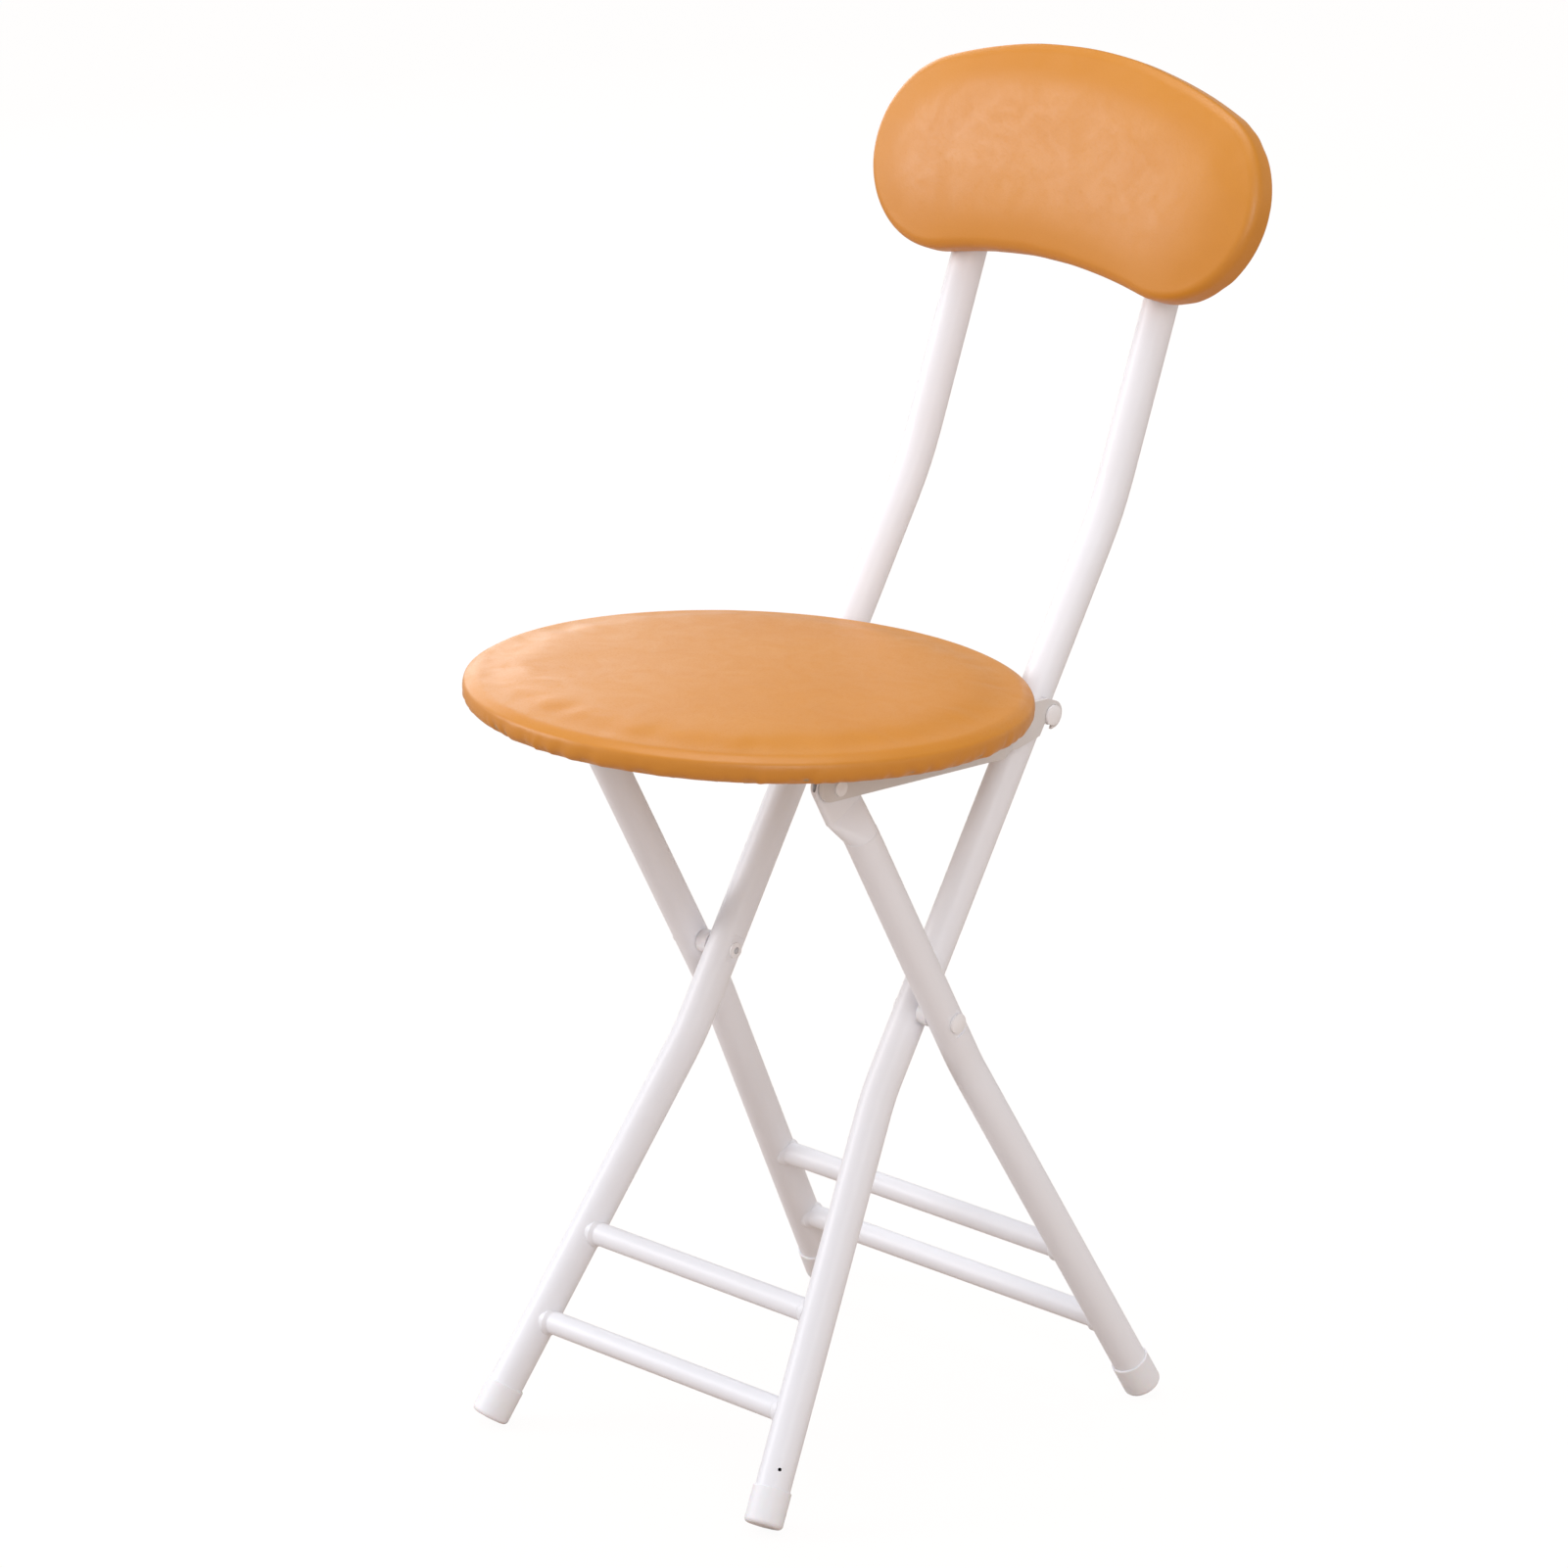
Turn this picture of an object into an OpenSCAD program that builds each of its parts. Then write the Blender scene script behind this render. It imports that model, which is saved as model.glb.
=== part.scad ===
/* [Seat] */
// Overall diameter of the padded seat
seat_d = 300; // [286:1:312]
// Gap between the legs' flattened tips and the rails' flanges above them
tip_gap = 2.9; // [2.2:0.1:4.6]
// How much nearer the seat board the hook pin is than the seat hinge
hook_rise = 7.7; // [6:0.1:8.4]
// Distance from the hook pin forward to the seat's rim beside the uprights
rim_clear = 6.1; // [5.5:0.1:12]
// Thickness of the seat board
seat_board_t = 9; // [8:0.5:14]
// Thickness of the seat foam at its edge
seat_foam_t = 5; // [3:0.5:9]
// Rise of the seat foam from its edge to its centre
seat_crown = 5; // [2:0.5:9]
// Rounding of the seat's upper edge
seat_top_round = 8; // [5:0.5:10]

/* [Backrest] */
// Width of the bean-shaped backrest
rest_w = 272; // [262:1:290]
// Radius of the backrest's two round lobes
rest_lobe_r = 54; // [51:0.5:57]
// Height of the lobe centres above the upper bend
rest_lobe_up = 167; // [160:1:175]
// Height of the backrest at its waist
rest_waist = 114.5; // [108:0.5:118]
// Height of the top of the waist above the lobe centres
rest_top_rise = 69.5; // [66:0.5:72]
// Thickness of the backrest board
rest_board_t = 8; // [7:0.5:12]
// Thickness of the backrest foam at its edge
rest_foam_t = 6; // [4:0.5:9]
// Rise of the backrest foam from its edge to its middle
rest_crown = 3; // [1:0.5:6]
// Rounding of the backrest's front edge
rest_round = 6; // [4:0.5:8]

/* [Upholstery] */
// Thickness of the leather cloth
cover_t = 1; // [0.8:0.1:1.4]
// Width of the hem turned in behind each cushion
hem_w = 11; // [8:0.5:13]

/* [Tubes] */
// Outside diameter of the frame tubes
tube_d = 19; // [18:0.1:19.6]
// Wall of the frame tubes
tube_wall = 1.2; // [1:0.1:1.6]
// Outside diameter of the rungs
rung_d = 12.7; // [11:0.1:14]
// Wall of the rungs
rung_wall = 1; // [0.8:0.1:1.4]
// Bend radius at the flare of each leg
flare_bend_r = 150; // [100:5:220]
// Bend radius of the uprights above the seat
upper_bend_r = 200; // [140:5:260]

/* [Back frame] */
// Distance between the upright tubes' axes above the flare
back_w = 139.4; // [134:0.2:144]
// Height of the crossing pivot
pivot_h = 245; // [240:1:252]
// Lean of the uprights from the vertical below the upper bend
back_lean = 31.5; // [30.5:0.1:32.5]
// Lean of the uprights above the upper bend
upper_lean = 20.9; // [18:0.1:24]
// Distance along the uprights from the pivot up to the upper bend
bend_up = 286.3; // [278:0.5:296]
// Length of the uprights above the upper bend
upper_len = 203; // [190:1:212]
// Distance along the uprights from the pivot down to the flare
back_flare_down = 49.6; // [46:0.2:60]
// Sideways flare of the front legs within their own plane
back_flare = 8.15; // [6:0.05:10]
// Height of the upper front rung
front_rung_h1 = 100.8; // [92:0.2:112]
// Height of the lower front rung
front_rung_h2 = 55.2; // [48:0.2:64]

/* [Leg frame] */
// Gap between an upright and the leg that crosses it
pivot_gap = 4.85; // [4:0.05:6]
// Lean of the rear legs from the vertical
leg_lean = 29.1; // [28:0.1:30.2]
// Distance along the rear legs from the pivot down to the flare
leg_flare_down = 33.7; // [30:0.1:44]
// Sideways flare of the rear legs within their own plane
leg_flare = 6.34; // [4.5:0.05:8]
// Height of the upper rear rung
rear_rung_h1 = 93.6; // [86:0.2:104]
// Height of the lower rear rung
rear_rung_h2 = 46.7; // [42:0.2:58]
// Thickness of the flattened upper end of each rear leg
flat_t = 5.2; // [4.6:0.1:6.4]
// Distance from the flattened end's outer face to the outer side of the round leg
flat_set = 11.6; // [10.8:0.1:12.6]
// Length of full flattening below the seat hinge
flat_below = 17; // [15:0.5:22]
// Length over which the round tube blends into the flat
flat_blend = 16; // [12:0.5:24]

/* [Hinge, hook and pivot] */
// Distance along the rear legs from the pivot up to the seat hinge
hinge_up = 169.7; // [167:0.1:172]
// How much farther than the seat hinge the hook pin is from the pivot
hook_extra = 2; // [1:0.1:3]
// Turns of the seat on the legs for each turn of the legs on the uprights
fold_ratio = 2.1; // [2.06:0.01:2.14]
// Thickness of the pressed steel rails
rail_t = 1.8; // [1.5:0.1:2.2]
// Depth of a rail below its seat hinge
rail_below = 6.6; // [5.5:0.1:8]
// Radius of the rail's end round the hook pin
tab_r = 7.8; // [7:0.1:8.2]
// Diameter of the hook pin's shank
hook_pin_d = 5; // [4.4:0.1:5.4]
// Length of the collar between upright and hook tab
collar_len = 5.7; // [5:0.1:6.4]
// Thickness of the washer between leg and rail
washer_t = 0.8; // [0.6:0.1:1.4]
// Diameter of the pivot rivets' shanks
pivot_d = 6; // [5:0.1:6.6]

/* [Foot caps] */
// Wall of the foot caps
cap_wall = 0.9; // [0.7:0.1:1.6]
// Height of the foot caps
cap_h = 20; // [16:0.5:26]
// Thickness of the foot caps' floor
cap_floor = 4; // [3:0.5:6]

/* [Hidden] */
$fn = 64;
// Overrun of every cut
over = 1;
// Play of a shaft in its hole, on the radius
running = 0.08;
// Play between fixed pieces that fit each other, on the radius
fitted = 0.05;
// Play between the seat's board and the cloth drawn round it
snug = 0.3;
// Gap between flat faces of pieces that turn on each other
face_gap = 0.15;
// Gap that keeps a head or a collar clear of the next body's tube
tube_gap = 0.3;
// Lengths of one tube are drawn to lap, the inner one this much slimmer on each face
lap = 0.4;
slim = 0.04;
// The blend to the flattened end is faceted, and laps the round tube like this
blend_lap = 0.15;
blend_slim = 0.2;
// Facets of a blend's round end
blend_fn = 48;

// Tube sizes
tube_r = tube_d / 2;
bore_r = tube_r - tube_wall;
rung_r = rung_d / 2;
back_x = back_w / 2;
leg_x = back_x + tube_d + pivot_gap;
upper_bend = back_lean - upper_lean;

// Flats pressed into the tubes under the rivet heads
press_depth = 1.1;
press_x = tube_r - press_depth;
press_len = 15;

// Flattened end of a rear leg: the wall keeps its length round the tube
flat_w = PI * (tube_d - flat_t) / 2 + flat_t;
flat_out = leg_x + tube_r - flat_set;
flat_mid = flat_out - flat_t / 2;
flat_in = flat_out - flat_t;
flat_tip_spare = 0.3;
flat_tip_r = flat_w / 2 + flat_tip_spare;
flat_side_fn = 8;

// Side view places, from the crossing pivot at y = 0
hinge_y = -hinge_up * sin(leg_lean);
hinge_z = pivot_h + hinge_up * cos(leg_lean);
hook_up = hinge_up + hook_extra;
hook_y = hook_up * sin(back_lean);
hook_z = pivot_h + hook_up * cos(back_lean);

// The same places seen from the seat: its centre is at y = 0, its board's underside at z = 0
seat_r = seat_d / 2;
seat_rise = rail_t + tip_gap + flat_tip_r;
link = norm([hook_y - hinge_y, hook_z - hinge_z]);
link_fall = atan2(hinge_z - hook_z, hook_y - hinge_y);
seat_tilt = link_fall + asin(hook_rise / link);
seat_reach = sqrt(pow(seat_r, 2) - pow(back_x - tube_r, 2)) + rim_clear;
hook_s = [seat_reach, hook_rise - seat_rise];
hinge_s = [seat_reach - sqrt(pow(link, 2) - pow(hook_rise, 2)), -seat_rise];
seat_y = hinge_y - hinge_s[0] * cos(seat_tilt) - hinge_s[1] * sin(seat_tilt);
seat_z = hinge_z + hinge_s[0] * sin(seat_tilt) - hinge_s[1] * cos(seat_tilt);

// The way the hook pin leaves the seat, which moves with the hinge and turns on it
seat_turn = fold_ratio - 1;
lift_y = (hinge_z - pivot_h) - seat_turn * (hook_z - hinge_z);
lift_z = -hinge_y + seat_turn * (hook_y - hinge_y);
notch_angle = atan2(-lift_z, -lift_y) + seat_tilt;

// Points of an arc, ends included
function arc(c, r, a0, a1, n) =
    [for (i = [0 : n]) c + r * [cos(a0 + (a1 - a0) * i / n), sin(a0 + (a1 - a0) * i / n)]];
// A list without its last point
function but_last(list) = [for (i = [0 : len(list) - 2]) list[i]];
// A list in reverse
function reversed(list) = [for (i = [len(list) - 1 : -1 : 0]) list[i]];

// Stations across the chair, from its middle plane outwards
rail_in = flat_out + washer_t + 2 * face_gap;
rail_out = rail_in + rail_t;
tab_in = back_x + press_x + collar_len + tube_gap;
tab_out = tab_in + rail_t;

// Rail sizes, seen from the side
rail_front = 14;
rail_front_round = 8;
rail_bend_r = 2.5;
rail_low = hinge_s[1] - rail_below;
rail_rise = 26;
tab_from = -66;
tab_to = 75;
tab_top = 4;
rim_gap = 0.3;
rim_step = 4;
flange_w = 22;
joggle_len = 15;
joggle_ahead = 30.5;
joggle_start = hook_s[0] - joggle_ahead - joggle_len;
flange_ahead = 2;
flange_short = 6;
flange_front = hinge_s[0] - flange_ahead;
flange_rear = joggle_start - flange_short;
joggle_lean = atan((rail_out - tab_out) / joggle_len);
joggle_shift = rail_t * tan(joggle_lean / 2);
notch_play = 0.35;
notch_flare = 1;
notch_len = 16;

// Rivets and pins
pivot_head_r = 5.4;
pivot_head_h = 2;
pivot_tail_r = 4.4;
pivot_tail_h = 1.5;
pivot_tail_bore_r = 2;
pivot_tail_bore_depth = 4;
spacer_r = 6.4;
hinge_pin_r = 2.5;
hinge_head_r = 4.2;
hinge_head_h = 1.7;
hinge_tail_h = 1.4;
washer_r = 7;
hook_head_r = 5.4;
hook_head_h = 1.9;
hook_collar_r = 5.8;
hook_tail_r = 4.2;
hook_tail_h = 1.4;
dome_share = 0.35;
dome_steps = 6;

// Seat screws
screw_r = 2;
screw_head_r = 3.7;
screw_head_h = 2.1;
screw_in = 7;
screw_x = rail_out - flange_w / 2;
screw_shares = [0.1, 0.5, 0.9];

// Backrest bolts and tee nuts
bolt_r = 2.4;
bolt_head_r = 4.6;
bolt_head_h = 2.6;
bolt_hole_r = 2.7;
bolt_up_low = 138;
bolt_up_high = 186;
tee_barrel_r = 3.4;
tee_flange_r = 8;
tee_flange_t = 1;
tee_gap = 0.5;

// Cushions
seat_bottom_round = 6;
seat_edge_top = seat_board_t + seat_foam_t + cover_t;
round_steps = 6;
crown_steps = 9;
rest_back_round = 2.2;
rest_edge_top = rest_board_t + rest_foam_t + cover_t;
rest_back_steps = 3;
rest_round_steps = 5;
rest_crown_steps = 3;
rest_gap = 0.2;
panel_t = 0.8;
panel_inset = 4;
rest_back = tube_r + rest_gap + panel_t + cover_t;
lobe_steps = 13;
top_steps = 8;
waist_steps = 6;

// Backrest outline: two lobes joined by a top arc and a waist arc that touch them
lobe_x = rest_w / 2 - rest_lobe_r;
rest_top = rest_lobe_up + rest_top_rise;
rest_dip = rest_top - rest_waist;
dip_drop = rest_lobe_up - rest_dip;
top_arc_r = (pow(lobe_x, 2) + pow(rest_top_rise, 2) - pow(rest_lobe_r, 2))
    / (2 * (rest_top_rise - rest_lobe_r));
waist_arc_r = (pow(lobe_x, 2) + pow(dip_drop, 2) - pow(rest_lobe_r, 2))
    / (2 * (rest_lobe_r - dip_drop));
top_arc_up = rest_top - top_arc_r;
waist_arc_up = rest_dip - waist_arc_r;
top_angle = atan2(rest_lobe_up - top_arc_up, lobe_x);
waist_angle = atan2(rest_lobe_up - waist_arc_up, lobe_x);
// The outline moved inwards, as points that keep their order and number
function bean(inset) = concat(
    but_last(arc([lobe_x, rest_lobe_up], rest_lobe_r - inset, waist_angle - 180, top_angle, lobe_steps)),
    but_last(arc([0, top_arc_up], top_arc_r - inset, top_angle, 180 - top_angle, top_steps)),
    but_last(arc([-lobe_x, rest_lobe_up], rest_lobe_r - inset, 180 - top_angle, 360 - waist_angle,
        lobe_steps)),
    but_last(arc([0, waist_arc_up], waist_arc_r + inset, 180 - waist_angle, waist_angle, waist_steps))
);
bean_n = 2 * lobe_steps + top_steps + waist_steps;
// Rings of the backrest's surface, as [inset, height]: its back edge, then its front and crown
function rest_back_edge() =
    arc([rest_back_round, rest_back_round - cover_t], rest_back_round, -90, -180, rest_back_steps);
function rest_front(skin) = concat(
    arc([rest_round, rest_edge_top - rest_round], rest_round - skin, 180, 90, rest_round_steps),
    [for (i = [1 : rest_crown_steps])
        let (share = i / (rest_crown_steps + 1))
            [rest_round + share * (rest_lobe_r - rest_round),
                rest_edge_top - skin + rest_crown * (1 - pow(1 - share, 2))]]
);

// Welds round the rung ends
weld_start = 0.9;
weld_rise = 2;
weld_r = rung_r + 1.5;

// Foot caps
cap_r = tube_r + fitted + cap_wall;
cap_round = 2.4;
foot_flat = 0.6;
foot_block = 60;
plug_h = 2;
plug_stem = 12;
vent_r = 1;
vent_up = 10;

// How high the centre of a cap's end stands when its rim is cut flat on the floor
function foot_lift(lean, flare) =
    let (down = cos(lean) * cos(flare))
        (cap_r - cap_round) * sqrt(1 - pow(down, 2)) + cap_round * (1 - down) - foot_flat;
// Length of a leg from the corner of its flare to the cap's end
function leg_run(lean, flare, flare_down) =
    ((pivot_h - foot_lift(lean, flare)) / cos(lean) - flare_down) / cos(flare);
// Place of a height along a frame, measured from the pivot
function along(h, lean) = (h - pivot_h) / cos(lean);
// Distance of a flared leg's inner side from the middle plane
function leg_side_x(x, down, flare_down, flare) =
    x + (down - flare_down) * tan(flare) - tube_r / cos(flare);

// The whole chair is centred over the floor by its furthest points
chair_front = seat_y - (seat_r - seat_bottom_round) * cos(seat_tilt) - seat_bottom_round
    + (seat_bottom_round - cover_t) * sin(seat_tilt);
upright_end = upper_len + plug_h * (1 - dome_share);
chair_back = bend_up * sin(back_lean) + upright_end * sin(upper_lean) + tube_r * cos(upper_lean);
centre_y = (chair_front + chair_back) / 2;

// Frames of reference
module chair() {
    translate([0, -centre_y, 0]) children();
}
module in_back_frame() {
    chair() translate([0, 0, pivot_h]) rotate([-back_lean, 0, 0]) children();
}
module in_leg_frame() {
    chair() translate([0, 0, pivot_h]) rotate([leg_lean, 0, 0]) children();
}
module in_upper_frame() {
    in_back_frame() translate([0, 0, bend_up]) rotate([upper_bend, 0, 0]) children();
}
module in_seat_frame() {
    chair() translate([0, seat_y, seat_z]) rotate([-seat_tilt, 0, 0]) children();
}
module right_side() {
    mirror([1, 0, 0]) children();
}
module along_x(x) {
    translate([x, 0, 0]) rotate([0, 90, 0]) children();
}

// Straight piece of tube, with what follows it
module run(length) {
    difference() {
        cylinder(h = length, r = tube_r);
        translate([0, 0, -over]) cylinder(h = length + 2 * over, r = bore_r);
    }
    translate([0, 0, length]) children();
}
// Bend of the tube towards +X, with what follows it
module bend(angle, radius) {
    spare = lap / radius * 180 / PI;
    translate([radius, 0, 0]) rotate([0, 0, 180]) rotate([90, 0, 0]) rotate([0, 0, -spare])
        rotate_extrude(angle = angle + 2 * spare) translate([radius, 0]) difference() {
            circle(r = tube_r - slim);
            circle(r = bore_r + slim);
        }
    translate([radius * (1 - cos(angle)), 0, radius * sin(angle)]) rotate([0, angle, 0]) children();
}
// Distance from a bend's corner to where its arc starts
function tangent(angle, radius) = radius * tan(angle / 2);

// Flared part of a leg, hanging below the corner of its flare
module flared_leg(flare, length) {
    mirror([0, 0, 1]) translate([0, 0, -tangent(flare, flare_bend_r)]) bend(flare, flare_bend_r)
        run(length - tangent(flare, flare_bend_r));
}
// The leg's full outside below its flare, which the rungs are coped to
module leg_outside(flare, length) {
    rotate([0, -flare, 0]) translate([0, 0, -length]) cylinder(h = length, r = tube_r + fitted);
}

// Wall left standing behind a pressed flat, side = -1 or 1
module pressed_wall(side) {
    intersection() {
        cylinder(h = press_len, r = (tube_r + bore_r) / 2, center = true);
        translate([side * (press_x - tube_wall / 2), 0, 0])
            cube([tube_wall, tube_d, press_len], center = true);
    }
}
// What a pressed flat takes off the outside of the tube
module pressed_space(side) {
    translate([side * (press_x + press_depth), 0, 0])
        cube([2 * press_depth, tube_d, press_len], center = true);
}
// Hole through both walls of a tube, across the chair
module cross_hole(radius) {
    rotate([0, 90, 0]) cylinder(h = tube_d + 2 * over, r = radius, center = true);
}

// Round head that stands on z = 0
module dome_head(radius, height) {
    rim = height * (1 - dome_share);
    bulge = height - rim;
    dome_r = (pow(radius, 2) + pow(bulge, 2)) / (2 * bulge);
    spread = asin(radius / dome_r);
    rotate_extrude() polygon(concat(
        [[0, 0], [radius, 0]],
        arc([0, height - dome_r], dome_r, 90 - spread, 90, dome_steps)
    ));
}

// Back frame
back_leg_run = leg_run(back_lean, back_flare, back_flare_down);
module upright_tube() {
    straight_start = -back_flare_down + tangent(back_flare, flare_bend_r);
    straight_len = bend_up - tangent(upper_bend, upper_bend_r) - straight_start;
    color("whitesmoke") in_back_frame() difference() {
        translate([back_x, 0, 0]) union() {
            translate([0, 0, straight_start]) run(straight_len) rotate([0, 0, -90])
                bend(upper_bend, upper_bend_r)
                run(upper_len - tangent(upper_bend, upper_bend_r));
            translate([0, 0, -back_flare_down]) flared_leg(back_flare, back_leg_run - cap_floor);
            for (z = [0, hook_up], side = [-1, 1])
                translate([0, 0, z]) pressed_wall(side);
        }
        for (z = [0, hook_up], side = [-1, 1])
            translate([back_x, 0, z]) pressed_space(side);
        translate([back_x, 0, 0]) cross_hole(pivot_d / 2 + fitted);
        translate([back_x, 0, hook_up]) cross_hole(hook_pin_d / 2 + fitted);
        translate([back_x, 0, bend_up]) rotate([upper_bend, 0, 0])
            for (up = [bolt_up_low, bolt_up_high])
                translate([0, 0, up]) rotate([90, 0, 0])
                    cylinder(h = tube_d + 2 * over, r = bolt_hole_r, center = true);
        translate([back_x, 0, -back_flare_down]) rotate([0, -back_flare, 0])
            translate([0, 0, cap_h + vent_up - back_leg_run]) rotate([0, 0, -45])
            rotate([0, 90, 0]) cylinder(h = tube_r + over, r = vent_r);
    }
}
module front_rung(h) {
    down = -along(h, back_lean);
    reach = leg_side_x(back_x, down, back_flare_down, back_flare);
    color("whitesmoke") in_back_frame() rung(down, reach) {
        translate([back_x, 0, -back_flare_down]) leg_outside(back_flare, back_leg_run);
    }
}
// Rung between two legs with a weld round each end, coped to the leg that is its child and to
// that leg's mirror image
module rung(down, reach) {
    bore = rung_r - rung_wall;
    half = [
        [rung_r, reach - weld_start],
        [weld_r, reach - weld_start + weld_rise],
        [weld_r, reach + tube_r],
        [bore, reach + tube_r]
    ];
    difference() {
        translate([0, 0, -down]) rotate([0, 90, 0]) rotate_extrude()
            polygon(concat(half, [for (point = reversed(half)) [point[0], -point[1]]]));
        children();
        right_side() children();
    }
}
// Upright's end plug, standing on the tube's end
module end_plug() {
    dome_head(tube_r, plug_h);
    translate([0, 0, -plug_stem]) cylinder(h = plug_stem, r = bore_r - fitted);
}
module upright_plug() {
    color("white") in_upper_frame() translate([back_x, 0, upper_len]) end_plug();
}

// Foot cap with its floor's outside at z = 0
module cap_shape() {
    difference() {
        rotate_extrude() polygon(concat(
            [[0, 0]],
            arc([cap_r - cap_round, cap_round], cap_round, -90, 0, round_steps),
            [[cap_r, cap_h - cap_wall / 2], [cap_r - cap_wall / 2, cap_h], [0, cap_h]]
        ));
        translate([0, 0, cap_floor]) cylinder(h = cap_h, r = tube_r + fitted);
    }
}
module floor_block() {
    translate([-2 * leg_x, -4 * leg_x, -foot_block]) cube([4 * leg_x, 8 * leg_x, foot_block]);
}
module foot_cap_front() {
    color("white") difference() {
        in_back_frame() translate([back_x, 0, -back_flare_down]) rotate([0, -back_flare, 0])
            translate([0, 0, -back_leg_run]) cap_shape();
        chair() floor_block();
    }
}
module foot_cap_rear() {
    color("white") difference() {
        in_leg_frame() translate([leg_x, 0, -leg_flare_down]) rotate([0, -leg_flare, 0])
            translate([0, 0, -rear_leg_run]) cap_shape();
        chair() floor_block();
    }
}

// Rear leg frame
rear_leg_run = leg_run(leg_lean, leg_flare, leg_flare_down);
// Cross-section of the flattened end, drawn in its wall's own size
module flat_section(inset) {
    end_r = flat_t / 2 - inset;
    half = flat_w / 2 - flat_t / 2;
    polygon(concat(
        arc([flat_mid - leg_x, half], end_r, 0, 180, flat_side_fn),
        arc([flat_mid - leg_x, -half], end_r, 180, 360, flat_side_fn)
    ));
}
// Blend between the round tube and the flattened end, which it laps
module flat_blend_body(inset, spare) {
    hull() {
        translate([0, 0, -blend_lap - spare]) linear_extrude(blend_lap + spare)
            circle(r = tube_r - inset, $fn = blend_fn);
        translate([0, 0, flat_blend]) linear_extrude(blend_lap + spare) flat_section(inset);
    }
}
// Space round the rounded tip of the flattened end
module flat_tip_space() {
    difference() {
        translate([flat_mid - leg_x - flat_t, -flat_w, 0]) cube([2 * flat_t, 2 * flat_w, 2 * flat_w]);
        translate([flat_mid - leg_x - flat_t - over, 0, 0]) rotate([0, 90, 0])
            cylinder(h = 2 * (flat_t + over), r = flat_tip_r);
    }
}
module leg_tube() {
    straight_start = -leg_flare_down + tangent(leg_flare, flare_bend_r);
    flat_start = hinge_up - flat_below;
    blend_start = flat_start - flat_blend;
    color("whitesmoke") in_leg_frame() difference() {
        translate([leg_x, 0, 0]) union() {
            translate([0, 0, straight_start]) run(blend_start - straight_start);
            translate([0, 0, blend_start]) difference() {
                flat_blend_body(blend_slim, 0);
                flat_blend_body(tube_wall - blend_slim, blend_lap);
            }
            translate([0, 0, flat_start]) difference() {
                linear_extrude(flat_below + flat_w) flat_section(0);
                translate([0, 0, -over]) linear_extrude(flat_below + flat_w + 2 * over)
                    flat_section(tube_wall);
            }
            translate([0, 0, -leg_flare_down]) flared_leg(leg_flare, rear_leg_run - cap_floor);
            for (side = [-1, 1])
                pressed_wall(side);
        }
        for (side = [-1, 1])
            translate([leg_x, 0, 0]) pressed_space(side);
        translate([leg_x, 0, 0]) cross_hole(pivot_d / 2 + running);
        translate([flat_in - over, 0, hinge_up]) rotate([0, 90, 0])
            cylinder(h = flat_t + 2 * over, r = hinge_pin_r + fitted);
        translate([leg_x, 0, hinge_up]) flat_tip_space();
    }
}
module rear_rung(h) {
    down = -along(h, leg_lean);
    reach = leg_side_x(leg_x, down, leg_flare_down, leg_flare);
    color("whitesmoke") in_leg_frame() rung(down, reach) {
        translate([leg_x, 0, -leg_flare_down]) leg_outside(leg_flare, rear_leg_run);
    }
}

// Crossing pivot
spacer_start = back_x + press_x;
spacer_end = leg_x - press_x - tube_gap;
module pivot_rivet() {
    tail_x = back_x - press_x;
    head_x = leg_x + press_x + face_gap;
    color("silver") in_back_frame() {
        difference() {
            union() {
                along_x(tail_x) cylinder(h = head_x - tail_x, r = pivot_d / 2);
                right_side() along_x(-tail_x) dome_head(pivot_tail_r, pivot_tail_h);
            }
            along_x(tail_x - pivot_tail_h - over)
                cylinder(h = pivot_tail_bore_depth + over, r = pivot_tail_bore_r);
        }
        along_x(head_x) dome_head(pivot_head_r, pivot_head_h);
    }
}
module pivot_spacer() {
    color("gainsboro") in_back_frame() along_x(spacer_start) difference() {
        cylinder(h = spacer_end - spacer_start, r = spacer_r);
        translate([0, 0, -over])
            cylinder(h = spacer_end - spacer_start + 2 * over, r = pivot_d / 2 + fitted);
    }
}

// Hook pin: a shouldered, headed pin fixed in the upright
module hook_pin() {
    tail_x = back_x - press_x;
    collar_x = back_x + press_x;
    shank_x = collar_x + collar_len;
    head_x = tab_out + tube_gap;
    color("silver") in_back_frame() translate([0, 0, hook_up]) {
        along_x(tail_x) cylinder(h = head_x - tail_x, r = hook_pin_d / 2);
        along_x(collar_x) cylinder(h = shank_x - collar_x, r = hook_collar_r);
        along_x(head_x) dome_head(hook_head_r, hook_head_h);
        right_side() along_x(-tail_x) dome_head(hook_tail_r, hook_tail_h);
    }
}

// Seat hinge
module hinge_rivet() {
    head_x = rail_out + face_gap;
    color("silver") in_leg_frame() translate([0, 0, hinge_up]) {
        along_x(flat_in) cylinder(h = head_x - flat_in, r = hinge_pin_r);
        along_x(head_x) dome_head(hinge_head_r, hinge_head_h);
        right_side() along_x(-flat_in) dome_head(hinge_head_r, hinge_tail_h);
    }
}
module hinge_washer() {
    color("white") in_leg_frame() translate([0, 0, hinge_up]) along_x(flat_out) difference() {
        cylinder(h = washer_t + face_gap, r = washer_r);
        translate([0, 0, -over])
            cylinder(h = washer_t + face_gap + 2 * over, r = hinge_pin_r + fitted);
    }
}

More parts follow.
